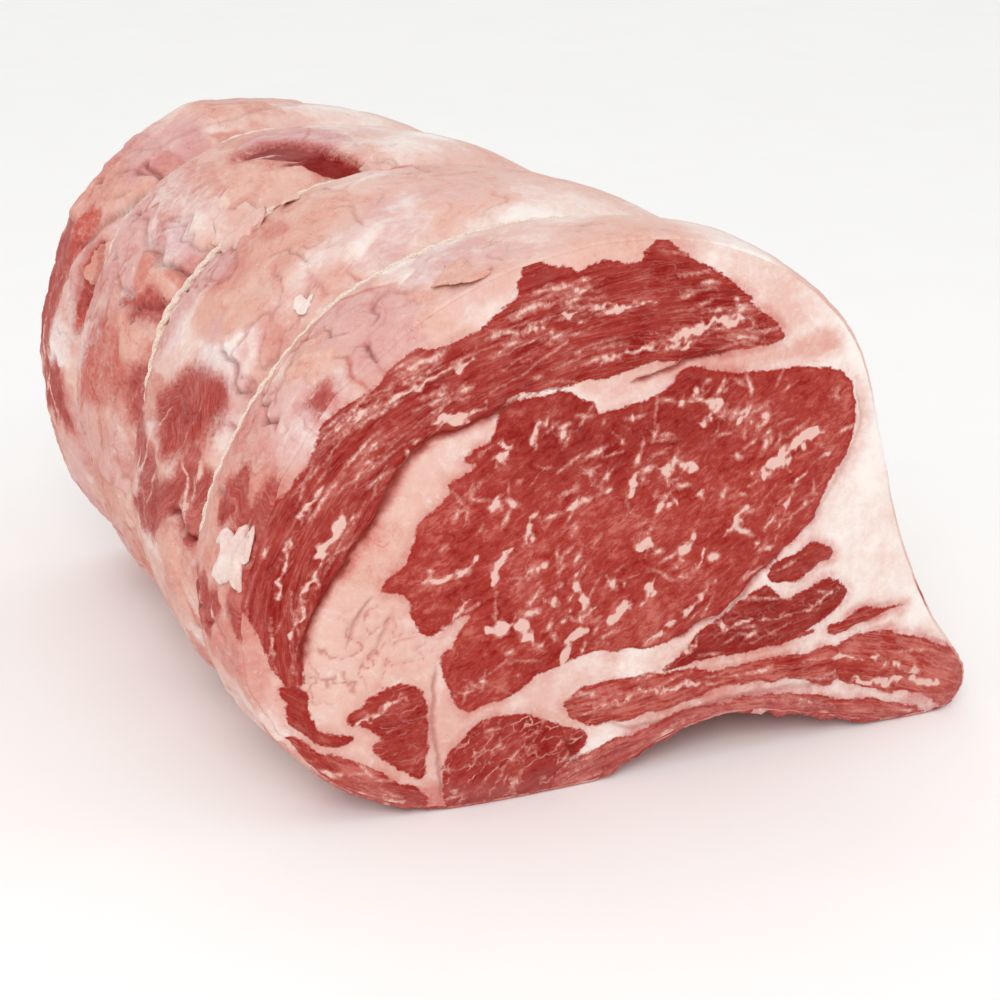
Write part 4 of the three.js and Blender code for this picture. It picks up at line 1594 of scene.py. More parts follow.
class Fringe:
    """A thin torn strip that softens the edge between the skin and the cut face."""

    ACROSS = 9
    STEP = 0.28

    def __init__(self, rim: Array, face: Face, size: FringeSize, seed: int) -> None:
        self.size = size
        self.clouds = Clouds(seed)
        angles = face.form.round_angles(rim)
        turned = np.r_[angles, angles[0] + 360]
        held = (turned >= size.start) & (turned <= size.end)
        line = np.vstack([rim, rim[:1]])[held]
        length = np.linalg.norm(np.diff(line, axis=0), axis=1).sum()
        self.line = resample(line, int(length / self.STEP))
        along = np.gradient(self.line[:, [0, 2]], axis=0)
        inward = np.stack([-along[:, 1], along[:, 0]], -1)
        inward /= np.linalg.norm(inward, axis=1, keepdims=True)
        self.inward = soften(inward, 12, 0, False)
        spots = face.flat.reshape(-1, 2)
        beside = self.line[:, [0, 2]] + self.inward * 1.8
        nearest = np.array([np.argmin(((spots - spot) ** 2).sum(1)) for spot in beside])
        self.looks = {name: getattr(face.looks, name).reshape(-1)[nearest]
                      for name in ("peach", "lilac", "blush")}

    def build(self, name: str) -> bpy.types.Object:
        """Makes the closed strip.

        Args:
            name: Name of the piece.

        Returns:
            The piece.
        """
        size, line = self.size, self.line
        inward = self.inward * (1.0 if size.reach > 0 else -1.0)
        waves = [self.clouds.value(line + 9.0 * k, span) for k, span in enumerate((7.0, 2.3, 0.9))]
        wander = np.abs(waves[0]) * 0.55 + np.abs(waves[1]) * 0.3 + np.abs(waves[2]) * 0.3
        share = np.linspace(0, 1, len(line))
        ends = smooth(share, 0.0, 0.3) * smooth(1 - share, 0.0, 0.3)
        reach = (abs(size.reach) + size.fray * wander) * ends
        if size.reach < 0:
            reach = np.minimum(reach, 0.5 * line[:, 2])
        t = np.linspace(0, 1, self.ACROSS)[:, None]
        over = -0.9 + t * (reach + 0.9)
        thick = size.thickness * np.sqrt(np.clip(1 - t**2.5, 0, 1)) * (0.35 + 0.65 * ends)
        rise = 0.12 + 0.3 * np.clip(waves[0], 0, 1) * t * ends - 0.5 * (1 - t) ** 2
        if size.reach < 0:
            rise = rise - 0.6 + 0.3 * waves[1] * t
        shapes = []
        for side in (0.6, -0.6):
            shape = np.repeat(line[None], self.ACROSS, 0)
            shape[..., [0, 2]] += inward * over[..., None]
            shape[..., 1] -= rise + side * thick
            shapes.append(shape)
        ring = np.concatenate([shapes[0], shapes[1][-2:0:-1]])
        ring[..., 2] = np.maximum(ring[..., 2], 0.1)
        sheet = np.swapaxes(ring, 0, 1)
        count, around = sheet.shape[:2]
        every, faces = closed_sheet(sheet, sheet[[0, -1]].mean(1))
        looks = Looks.plain((count, around))
        run = np.repeat(np.arange(count)[:, None] * self.STEP, around, 1)
        looks.grain = np.stack([run, sheet[..., 2] - sheet[..., 0], np.full(run.shape, 3.0)], -1)
        for name, values in self.looks.items():
            setattr(looks, name, np.repeat(values[:, None], around, 1))
        if size.lean:
            looks.lean = 0.9 + 2.2 * self.clouds.value(sheet + 60, 6.0)
            looks.streak[:] = 0.9
            looks.marble[:] = 0.5
        return make_mesh(name, every, faces, looks.fields(2))


# ---------------------------------------------------------------------------------------
# Finishes
# ---------------------------------------------------------------------------------------


Socket = bpy.types.NodeSocket


class Nodes:
    """Adds and joins the nodes of one tree."""

    def __init__(self, tree: bpy.types.NodeTree) -> None:
        self.tree = tree

    def add(self, kind: str, **settings: object) -> bpy.types.Node:
        """A new node with the given settings."""
        node = self.tree.nodes.new(kind)
        for key, value in settings.items():
            setattr(node, key, value)
        return node

    def feed(self, socket: Socket, value: object) -> None:
        """Joins a socket to another, or sets its value."""
        if isinstance(value, Socket):
            self.tree.links.new(value, socket)
        else:
            socket.default_value = value

    def make(self, kind: str, inputs: dict, **settings: object) -> bpy.types.Node:
        """A new node with its inputs joined or set, by their names or numbers."""
        node = self.add(kind, **settings)
        for key, value in inputs.items():
            self.feed(node.inputs[key], value)
        return node

    def math(self, operation: str, a: object, b: object = 0.0, clamp: bool = False) -> Socket:
        """One sum of two values."""
        settings = {"operation": operation, "use_clamp": clamp}
        return self.make("ShaderNodeMath", {0: a, 1: b}, **settings).outputs[0]

    def plus(self, a: object, b: object, clamp: bool = False) -> Socket:
        """The sum of two values."""
        return self.math("ADD", a, b, clamp)

    def minus(self, a: object, b: object) -> Socket:
        """One value less another."""
        return self.math("SUBTRACT", a, b)

    def times(self, a: object, b: object, clamp: bool = False) -> Socket:
        """The product of two values."""
        return self.math("MULTIPLY", a, b, clamp)

    def vector(self, operation: str, a: object, b: object) -> Socket:
        """One sum of two vectors."""
        return self.make("ShaderNodeVectorMath", {0: a, 1: b}, operation=operation).outputs[0]

    def scaled(self, vector: object, size: object) -> Socket:
        """A vector made longer or shorter."""
        inputs = {0: vector, "Scale": size}
        return self.make("ShaderNodeVectorMath", inputs, operation="SCALE").outputs[0]

    def mix(self, share: object, a: object, b: object) -> Socket:
        """A mix of two colours."""
        inputs = {"Factor": share, 6: a, 7: b}
        return self.make("ShaderNodeMix", inputs, data_type="RGBA", clamp_factor=True).outputs[2]

    def step(
        self, value: object, low: object, high: object, to: tuple[float, float] = (0, 1)
    ) -> Socket:
        """A soft step between two values."""
        inputs = {"Value": value, "From Min": low, "From Max": high, "To Min": to[0], "To Max": to[1]}
        return self.make("ShaderNodeMapRange", inputs, interpolation_type="SMOOTHSTEP").outputs[0]

    def noise(
        self, place: object, scale: float, detail: float = 3.0, rough: float = 0.55,
        twist: float = 0.0,
    ) -> Socket:
        """Soft random values."""
        inputs = {
            "Vector": place, "Scale": scale, "Detail": detail, "Roughness": rough,
            "Distortion": twist,
        }
        return self.make("ShaderNodeTexNoise", inputs).outputs["Fac"]

    def clouds(self, place: object, scale: float) -> Socket:
        """A soft random shift."""
        inputs = {"Vector": place, "Scale": scale}
        return self.make("ShaderNodeTexNoise", inputs).outputs["Color"]

    def cell_edge(self, place: object, scale: float) -> Socket:
        """Distance to the nearest edge between random cells."""
        inputs = {"Vector": place, "Scale": scale}
        settings = {"feature": "DISTANCE_TO_EDGE"}
        return self.make("ShaderNodeTexVoronoi", inputs, **settings).outputs["Distance"]

    def field(self, name: str, vector: bool = False) -> Socket:
        """A value kept at the mesh's points."""
        node = self.add("ShaderNodeAttribute", attribute_name=name)
        return node.outputs["Vector" if vector else "Fac"]

    def place(self) -> Socket:
        """The place on the object, in mm."""
        return self.scaled(self.add("ShaderNodeTexCoord").outputs["Object"], 1 / MM)

    def surface(
        self, looks: dict[str, object], strength: float, depth: float, height: Socket
    ) -> None:
        """Adds the shader with its bump and joins it to the output.

        Args:
            looks: What each of the shader's sockets is joined or set to.
            strength: Strength of the bump.
            depth: Depth of the bump, in mm.
            height: Where the bump stands high.
        """
        bsdf = self.add("ShaderNodeBsdfPrincipled")
        bump = self.add("ShaderNodeBump")
        self.feed(bump.inputs["Strength"], strength)
        self.feed(bump.inputs["Distance"], depth * MM)
        self.feed(bump.inputs["Height"], height)
        for key, value in {**looks, "Normal": bump.outputs[0]}.items():
            self.feed(bsdf.inputs[key], value)
        self.feed(self.add("ShaderNodeOutputMaterial").inputs["Surface"], bsdf.outputs[0])


def empty_material(name: str) -> tuple[bpy.types.Material, Nodes]:
    """A new material without nodes, and its tree."""
    made = bpy.data.materials.new(name)
    made.use_nodes = True
    made.node_tree.nodes.clear()
    return made, Nodes(made.node_tree)


def colour(red: int, green: int, blue: int) -> tuple[float, float, float, float]:
    """A colour given as three numbers up to 255, as the shaders take it."""
    parts = [v / 255 for v in (red, green, blue)]
    linear = [p / 12.92 if p <= 0.04045 else ((p + 0.055) / 1.055) ** 2.4 for p in parts]
    return (*linear, 1.0)


class ShaderGroup:
    """A shared effect with named inputs and outputs, built once."""

    def __init__(self, name: str, inputs: dict[str, str], outputs: dict[str, str]) -> None:
        self.tree = bpy.data.node_groups.new(name, "ShaderNodeTree")
        for direction, sockets in (("INPUT", inputs), ("OUTPUT", outputs)):
            for key, kind in sockets.items():
                self.tree.interface.new_socket(key, in_out=direction, socket_type=kind)
        self.nodes = Nodes(self.tree)
        self.start = self.nodes.add("NodeGroupInput").outputs
        self.end = self.nodes.add("NodeGroupOutput").inputs

    def use(self, nodes: Nodes, **values: object) -> bpy.types.Node:
        """Adds the effect to another tree."""
        node = nodes.add("ShaderNodeGroup", node_tree=self.tree)
        for key, value in values.items():
            nodes.feed(node.inputs[key], value)
        return node


FLOAT, VECTOR, COLOUR = "NodeSocketFloat", "NodeSocketVector", "NodeSocketColor"


@dataclass(frozen=True)
class LeanLook:
    """Colours of the lean."""

    dark: tuple = colour(138, 16, 12)
    middle: tuple = colour(162, 54, 45)
    light: tuple = colour(192, 102, 91)
    deep: tuple = colour(104, 14, 14)

    def group(self) -> ShaderGroup:
        """Grains of fibre, cut short in the eye and lengthwise in the streaky muscles."""
        made = ShaderGroup(
            "Lean look",
            {"Place": VECTOR, "Grain": VECTOR, "Tone": FLOAT, "Streak": FLOAT},
            {"Colour": COLOUR, "Height": FLOAT},
        )
        n, given, end = made.nodes, made.start, made.end
        short = n.vector("MULTIPLY", given["Grain"], (0.5, 1.0, 1.0))
        specks = n.noise(short, 0.55, 5.0, 0.78, 0.5)
        long_way = n.vector("MULTIPLY", given["Grain"], (0.12, 1.0, 1.0))
        streaks = n.noise(long_way, 0.8, 4.0, 0.66, 0.4)
        parts = {0: given["Streak"], 2: specks, 3: streaks}
        mixed = n.make("ShaderNodeMix", parts, data_type="FLOAT")
        grain = mixed.outputs[0]
        broad = n.noise(given["Place"], 0.11, 3.0, 0.6)
        shade = n.plus(grain, n.times(n.minus(broad, 0.5), 0.5))
        shade = n.plus(shade, n.times(given["Tone"], 0.12))
        low = n.mix(n.step(shade, 0.3, 0.5), self.dark, self.middle)
        both = n.mix(n.step(shade, 0.48, 0.7), low, self.light)
        deep = n.math("MAXIMUM", n.times(given["Tone"], -0.5), 0.0)
        n.feed(end["Colour"], n.mix(deep, both, self.deep))
        n.feed(end["Height"], grain)
        return made


@dataclass(frozen=True)
class FatLook:
    """Colours of the fat."""

    milk: tuple = colour(238, 229, 223)
    cream: tuple = colour(228, 200, 190)
    peach: tuple = colour(217, 165, 149)
    lilac: tuple = colour(207, 158, 160)
    blush: tuple = colour(190, 84, 72)
    # Dark red-brown painted shade for the crevices of seams, creases and cracks.
    crevice_shade: tuple = colour(128, 38, 28)
    blood: tuple = colour(158, 26, 18)

    def group(self) -> ShaderGroup:
        """Mottled fat, from milk through cream to peach, lilac and blush."""
        made = ShaderGroup(
            "Fat look",
            {"Place": VECTOR, "Peach": FLOAT, "Lilac": FLOAT, "Blush": FLOAT},
            {"Colour": COLOUR, "Height": FLOAT},
        )
        n, given, end = made.nodes, made.start, made.end
        broad = n.noise(given["Place"], 0.14, 4.0, 0.66, 0.3)
        fine = n.noise(given["Place"], 0.55, 4.0, 0.7, 0.6)
        drift = n.plus(n.minus(fine, 0.5), n.minus(broad, 0.5))
        drift = n.times(drift, 1.5)
        soft = n.plus(n.times(given["Peach"], 2.2), drift, True)
        base = n.mix(soft, self.milk, self.cream)
        for amount, tint in ((given["Peach"], self.peach), (given["Lilac"], self.lilac),
                             (given["Blush"], self.blush)):
            share = n.plus(amount, n.times(drift, amount), True)
            base = n.mix(share, base, tint)
        veins = n.noise(given["Place"], 0.24, 4.0, 0.66, 0.8)
        line = n.step(n.math("ABSOLUTE", n.minus(veins, 0.5)), 0.018, 0.0, (0, 0.5))
        line = n.times(line, n.step(given["Peach"], 0.35, 0.8))
        line = n.times(line, n.step(broad, 0.47, 0.6))
        pale = n.step(veins, 0.62, 0.74, (0, 0.4))
        base = n.mix(pale, base, self.milk)
        n.feed(end["Colour"], n.mix(line, base, self.blush))
        n.feed(end["Height"], fine)
        return made


@dataclass(frozen=True)
class MarbleLook:
    """Fine fat that runs through the lean."""

    stretch: float = 0.16
    pink: tuple = colour(209, 144, 132)
    white: tuple = colour(222, 183, 172)

    def group(self) -> ShaderGroup:
        """A mask of drawn flecks and fine threads, and their colour."""
        made = ShaderGroup(
            "Marbling",
            {"Place": VECTOR, "Grain": VECTOR, "Streak": FLOAT, "Amount": FLOAT, "Fleck": FLOAT,
             "Net": FLOAT},
            {"Mask": FLOAT, "Colour": COLOUR},
        )
        n, given, end = made.nodes, made.start, made.end
        rough = n.noise(given["Place"], 0.75, 4.0, 0.72, 0.4)
        edge = n.times(n.minus(rough, 0.5), 1.7)
        drawn = n.step(n.plus(given["Fleck"], edge), -0.45, 0.65)
        long_way = n.vector("MULTIPLY", given["Grain"], (self.stretch, 1.0, 1.0))
        lines = n.noise(long_way, 0.5, 4.0, 0.66, 0.6)
        ridge = n.math("ABSOLUTE", n.minus(lines, 0.5))
        patchy = n.noise(given["Place"], 0.24, 3.0, 0.66)
        width = n.times(n.step(patchy, 0.4, 0.68), given["Amount"])
        width = n.times(width, 0.032)
        threads = n.math("DIVIDE", n.minus(width, ridge), 0.055)
        threads = n.times(n.plus(threads, 0.4, True), given["Streak"])
        specks = n.step(rough, 0.55, 0.75, (0, 0.55))
        specks = n.times(specks, n.times(given["Amount"], patchy), True)
        fine = n.math("MAXIMUM", n.times(threads, 0.5), specks)
        swayed = n.scaled(n.clouds(given["Place"], 0.3), 3.0)
        swayed = n.vector("MULTIPLY", n.vector("ADD", given["Grain"], swayed), (0.3, 1.0, 1.0))
        rim = n.step(n.cell_edge(swayed, 0.3), 0.075, 0.01)
        rim = n.times(rim, n.step(patchy, 0.4, 0.64))
        fine = n.math("MAXIMUM", fine, n.times(rim, given["Net"]))
        mask = n.math("MAXIMUM", drawn, fine)
        n.feed(end["Mask"], mask)
        n.feed(end["Colour"], n.mix(n.step(mask, 0.6, 1.0), self.pink, self.white))
        return made


class MeatFinish:
    """The one finish of all the meat; the values at the mesh's points steer it."""

    def __init__(self, lean: LeanLook, fat: FatLook, marble: MarbleLook) -> None:
        self.fat = fat
        self.lean_group = lean.group()
        self.fat_group = fat.group()
        self.marble_group = marble.group()

    def material(self) -> bpy.types.Material:
        """The finish as a material."""
        made, n = empty_material("raw_meat")
        place, grain = n.place(), n.field("grain", True)
        lean = self.lean_group.use(
            n, Place=place, Grain=grain, Tone=n.field("tone"), Streak=n.field("streak")
        )
        fat = self.fat_group.use(
            n, Place=place, Peach=n.field("peach"), Lilac=n.field("lilac"),
            Blush=n.field("blush")
        )
        marble = self.marble_group.use(
            n, Place=place, Grain=grain, Streak=n.field("streak"),
            Amount=n.field("marble"), Fleck=n.field("fleck"), Net=n.field("net")
        )
        soft = n.field("soft")
        ragged = n.minus(n.noise(place, 0.9, 5.0, 0.7), 0.5)
        ragged = n.times(ragged, n.plus(n.times(soft, 2.5), 1.5))
        long_way = n.vector("MULTIPLY", grain, (0.16, 1.0, 1.0))
        torn = n.minus(n.noise(long_way, 0.5, 3.0, 0.6), 0.5)
        torn = n.times(torn, n.times(n.field("streak"), 2.6))
        ragged = n.plus(ragged, torn)
        depth = n.plus(n.field("lean"), ragged)
        mask = n.step(depth, n.times(soft, -1.0), soft)
        veil = n.times(n.field("lilac"), 0.25)
        lean_colour = n.mix(veil, lean.outputs["Colour"], self.fat.lilac)
        blood = n.step(n.math("ABSOLUTE", n.minus(depth, 0.4)), 0.9, 0.0, (0, 0.5))
        lean_colour = n.mix(blood, lean_colour, self.fat.blood)
        marbled = n.mix(marble.outputs["Mask"], lean_colour, marble.outputs["Colour"])
        base = n.mix(mask, fat.outputs["Colour"], marbled)
        # Painted shade: darkens seams, creases and cracks towards a dark red-brown.
        base = n.mix(n.field("crevice_shade"), base, self.fat.crevice_shade)
        wet = n.noise(place, 0.34, 4.0, 0.7)
        high = n.times(lean.outputs["Height"], mask)
        high = n.plus(high, n.times(fat.outputs["Height"], 0.5))
        looks = {
            "Base Color": base,
            "Roughness": n.step(wet, 0.3, 0.7, (0.42, 0.62)),
            "Coat Weight": n.step(wet, 0.56, 0.66, (0.0, 0.5)),
            "Coat Roughness": 0.16,
            "Specular IOR Level": 0.1,
            "Subsurface Weight": 0.1,
            "Subsurface Radius": (1.0, 0.35, 0.22),
            "Subsurface Scale": 0.0022,
        }
        n.surface(looks, 0.55, 0.35, high)
        return made


@dataclass(frozen=True)
class TwineFinish:
    """Undyed cotton twine, a little stained by the meat."""

    thread: tuple = colour(241, 226, 213)
    shadow: tuple = colour(212, 184, 165)
    stain: tuple = colour(214, 160, 142)

    def material(self) -> bpy.types.Material:
        """The finish as a material."""
        made, n = empty_material("cotton_twine")
        place = n.place()
        fibres = n.noise(place, 3.0, 3.0, 0.6)
        spots = n.noise(place, 0.5, 4.0, 0.7)
        base = n.mix(n.step(fibres, 0.35, 0.62), self.shadow, self.thread)
        base = n.mix(n.step(spots, 0.58, 0.72, (0, 0.7)), base, self.stain)
        rough = n.step(fibres, 0.3, 0.7, (0.75, 0.95))
        n.surface({"Base Color": base, "Roughness": rough}, 0.6, 0.15, fibres)
        return made


# ---------------------------------------------------------------------------------------
# Twine
# ---------------------------------------------------------------------------------------


@dataclass(frozen=True)
class TwineSize:
    """Sizes of the twine, in mm."""

    radius: float = 1.24
    ply_radius: float = 0.84
    plies: int = 2
    pitch: float = 9.5
    clear: float = 0.25
    sunk: float = 3.0
    step: float = 0.45
    sides: int = 9
    knot_height: float = 67.0
    knot_radius: float = 1.5
    tail: float = 12.0
    tail_spread: float = 0.6
    fibres_per_mm2: float = 0.55
    fibre_length: float = 1.5
    fibre_base: float = 0.035
    fibre_tip: float = 0.008
    fibre_lean: float = 1.3
    fibre_scale: tuple[float, float] = (0.35, 1.1)


class TwineTree:
    """Geometry nodes that lay twisted plies and loose fibres along a line."""

    def __init__(self, size: TwineSize, material: bpy.types.Material) -> None:
        self.size = size
        self.tree = bpy.data.node_groups.new("Twisted twine", "GeometryNodeTree")
        for key, kind, value in (
            ("Geometry", "NodeSocketGeometry", None),
            ("Offset", FLOAT, (size.radius - size.ply_radius) * MM),
            ("Ply radius", FLOAT, size.ply_radius * MM),
            ("Pitch", FLOAT, size.pitch * MM),
            ("Step", FLOAT, size.step * MM),
            ("Fibre density", FLOAT, size.fibres_per_mm2 / MM**2),
            ("Fibre length", FLOAT, size.fibre_length * MM),
            ("Seed", "NodeSocketInt", 7),
        ):
            socket = self.tree.interface.new_socket(key, in_out="INPUT", socket_type=kind)
            if value is not None:
                socket.default_value = value
        self.tree.interface.new_socket(
            "Geometry", in_out="OUTPUT", socket_type="NodeSocketGeometry"
        )
        self._build(material)

    def _build(self, material: bpy.types.Material) -> None:
        """Lays out the nodes."""
        n = Nodes(self.tree)
        given = n.add("NodeGroupInput").outputs
        line = n.make("GeometryNodeMeshToCurve", {"Mesh": given["Geometry"]})
        even = n.add("GeometryNodeResampleCurve")
        even.mode = "LENGTH"
        n.feed(even.inputs["Curve"], line.outputs[0])
        n.feed(even.inputs["Length"], given["Step"])
        inputs = {"Geometry": even.outputs[0], "Amount": self.size.plies}
        plies = n.make("GeometryNodeDuplicateElements", inputs, domain="SPLINE")
        run = n.add("GeometryNodeSplineParameter").outputs["Length"]
        share = n.math("DIVIDE", plies.outputs["Duplicate Index"], float(self.size.plies))
        inputs = {
            "Vector": n.add("GeometryNodeInputNormal").outputs[0],
            "Axis": n.add("GeometryNodeInputTangent").outputs[0],
            "Angle": n.times(n.plus(n.math("DIVIDE", run, given["Pitch"]), share), 2 * math.pi),
        }
        swung = n.make("ShaderNodeVectorRotate", inputs, rotation_type="AXIS_ANGLE")
        shift = n.scaled(swung.outputs[0], given["Offset"])
        inputs = {"Geometry": plies.outputs["Geometry"], "Offset": shift}
        moved = n.make("GeometryNodeSetPosition", inputs)
        inputs = {"Resolution": self.size.sides, "Radius": given["Ply radius"]}
        circle = n.make("GeometryNodeCurvePrimitiveCircle", inputs)
        inputs = {
            "Curve": moved.outputs[0], "Profile Curve": circle.outputs[0], "Fill Caps": True,
        }
        tube = n.make("GeometryNodeCurveToMesh", inputs)
        smooth_tube = n.make("GeometryNodeSetShadeSmooth", {"Geometry": tube.outputs[0]})
        both = n.add("GeometryNodeJoinGeometry")
        self.tree.links.new(smooth_tube.outputs[0], both.inputs[0])
        self.tree.links.new(self._fuzz(n, given, tube.outputs[0]), both.inputs[0])
        real = n.make("GeometryNodeRealizeInstances", {0: both.outputs[0]})
        inputs = {"Geometry": real.outputs[0], "Material": material}
        dressed = n.make("GeometryNodeSetMaterial", inputs)
        n.feed(n.add("NodeGroupOutput").inputs[0], dressed.outputs[0])

    def _fuzz(self, n: Nodes, given: bpy.types.NodeOutputs, tube: Socket) -> Socket:
        """Loose fibres that stand off the plies."""
        size = self.size
        inputs = {"Mesh": tube, "Density": given["Fibre density"], "Seed": given["Seed"]}
        spots = n.make("GeometryNodeDistributePointsOnFaces", inputs)
        inputs = {
            "Vertices": 3, "Radius Bottom": size.fibre_base * MM, "Radius Top": size.fibre_tip * MM,
            "Depth": given["Fibre length"],
        }
        fibre = n.make("GeometryNodeMeshCone", inputs)
        most = size.fibre_lean
        inputs = {0: (-most, -most, 0.0), 1: (most, most, 6.28), "Seed": given["Seed"]}
        lean = n.make("FunctionNodeRandomValue", inputs, data_type="FLOAT_VECTOR")
        inputs = {"Rotation": spots.outputs["Rotation"], "Rotate By": lean.outputs[0]}
        tilt = n.make("FunctionNodeRotateEuler", inputs, rotation_type="EULER", space="LOCAL")
        inputs = {2: size.fibre_scale[0], 3: size.fibre_scale[1], "Seed": given["Seed"]}
        scale = n.make("FunctionNodeRandomValue", inputs, data_type="FLOAT")
        inputs = {
            "Points": spots.outputs["Points"], "Instance": fibre.outputs["Mesh"],
            "Rotation": tilt.outputs[0], "Scale": scale.outputs[1],
        }
        return n.make("GeometryNodeInstanceOnPoints", inputs).outputs[0]

    def apply(self, name: str, lines: Sequence[tuple[Array, bool]], seed: int) -> bpy.types.Object:
        """Lays twine along lines.

        Args:
            name: Name of the piece.
            lines: Lines in mm, each with whether it is closed.
            seed: Seed of its loose fibres.

        Returns:
            The twine as a plain mesh.
        """
        points, edges = [], []
        for line, closed in lines:
            start = len(points)
            points.extend((line * MM).tolist())
            edges.extend((start + k, start + k + 1) for k in range(len(line) - 1))
            if closed:
                edges.append((len(points) - 1, start))
        path = bpy.data.meshes.new(name + "_path")
        path.from_pydata(points, edges, [])
        thing = bpy.data.objects.new(name + "_path", path)
        bpy.context.scene.collection.objects.link(thing)
        modifier = thing.modifiers.new("Twine", "NODES")
        modifier.node_group = self.tree
        names = {item.name: item.identifier for item in self.tree.interface.items_tree
                 if item.in_out == "INPUT"}
        modifier[names["Seed"]] = seed
        graph = bpy.context.evaluated_depsgraph_get()
        graph.update()
        mesh = bpy.data.meshes.new_from_object(thing.evaluated_get(graph))
        mesh.name = name
        made = bpy.data.objects.new(name, mesh)
        bpy.context.scene.collection.objects.link(made)
        bpy.data.objects.remove(thing)
        bpy.data.meshes.remove(path)
        return made


def taut(ring: Array) -> Array:
    """The convex outline round points (x, z): the way a taut string lies."""
    order = ring[np.lexsort((ring[:, 1], ring[:, 0]))]

    def half(points: Array) -> list:
        """One side of the outline."""
        chain: list = []
        for point in points:
            while len(chain) > 1:
                (ax, az), (bx, bz) = chain[-2], chain[-1]
                if (bx - ax) * (point[1] - az) - (bz - az) * (point[0] - ax) > 0:
                    break
                chain.pop()
            chain.append(tuple(point))
        return chain[:-1]

    return np.array(half(order) + half(order[::-1]))


class Twine:
    """One tie: its loop, its knot and its two clipped tails."""

    def __init__(self, form: Form, skin: Array, tie: Tie, size: TwineSize) -> None:
        self.form = form
        self.skin = skin
        self.tie = tie
        self.size = size

    def loop(self) -> Array:
        """The loop's middle line: taut round the meat at the tie's level."""
        row = int(round(self.tie.distance / self.form.size.row_step))
        hull = taut(self.skin[row][:, [0, 2]])
        line = resample(np.vstack([hull, hull[:1]]), 481)[:-1]
        along = np.roll(line, -1, 0) - np.roll(line, 1, 0)
        out = np.stack([along[:, 1], -along[:, 0]], -1)
        out /= np.linalg.norm(out, axis=1, keepdims=True)
        offset = line - self.form.size.middle
        angle = np.degrees(np.arctan2(offset[:, 1], offset[:, 0])) % 360
        lift = np.full(len(line), self.size.radius + self.size.clear)
        for start, end in self.tie.buried:
            lift -= self.size.sunk * smooth(angle, start - 5, start + 5) * smooth(-angle, -end - 5,
                                                                                -end + 5)
        line = line + soften(out, 2, 0, True) * lift[:, None]
        line = soften(line, 1.5, 0, True)
        behind = self.form.behind(line[:, 0], line[:, 1], self.tie.distance)
        return np.stack([line[:, 0], behind + self.form.cut_y, line[:, 1]], -1)

    def knot(self, loop: Array) -> list[tuple[Array, bool]]:
        """The knot's turns and the two tails."""
        size = self.size
        right = np.where(loop[:, 0] > 0, np.abs(loop[:, 2] - size.knot_height), 1e3)
        at = int(np.argmin(right))
        along = loop[(at + 2) % len(loop)] - loop[at - 2]
        along /= np.linalg.norm(along)
        out = np.cross(along, (0.0, 1.0, 0.0))
        out /= np.linalg.norm(out)
        out = out if out[0] > 0 else -out
        across = np.cross(out, along)
        middle = loop[at] + out * 0.9
        turn = np.linspace(0, 2 * math.pi, 73)[:-1]
        wide = np.sin(turn) + 2 * np.sin(2 * turn)
        tall = np.cos(turn) - 2 * np.cos(2 * turn)
        deep = -np.sin(3 * turn)
        scale = size.knot_radius / 3 * 1.5
        turns = middle + scale * (
            wide[:, None] * along + 0.8 * tall[:, None] * across + 0.8 * deep[:, None] * out
        )
        lines = [(turns, True)]
        for side in (-1.0, 1.0):
            share = np.linspace(0, 1, 24)[:, None]
            heading = side * (math.cos(size.tail_spread) * along)
            heading = heading + math.sin(size.tail_spread) * across
            droop = np.array([0.0, 0.0, -2.2]) * share**2
            bow = 1.2 * np.sin(share * 2.6) * across * side
            tail = middle + size.tail * share * heading + out * (0.6 + 0.9 * share) + droop + bow
            lines.append((tail, False))
        return lines

    def build(self, tree: TwineTree, seed: int) -> bpy.types.Object:
        """Lays the twine.

        Args:
            tree: The geometry nodes of the twine.
            seed: Seed of its loose fibres.

        Returns:
            The piece.
        """
        loop = self.loop()
        return tree.apply(self.tie.node + "_cord", [(loop, True)] + self.knot(loop), seed)


# ---------------------------------------------------------------------------------------
# Stage
# ---------------------------------------------------------------------------------------


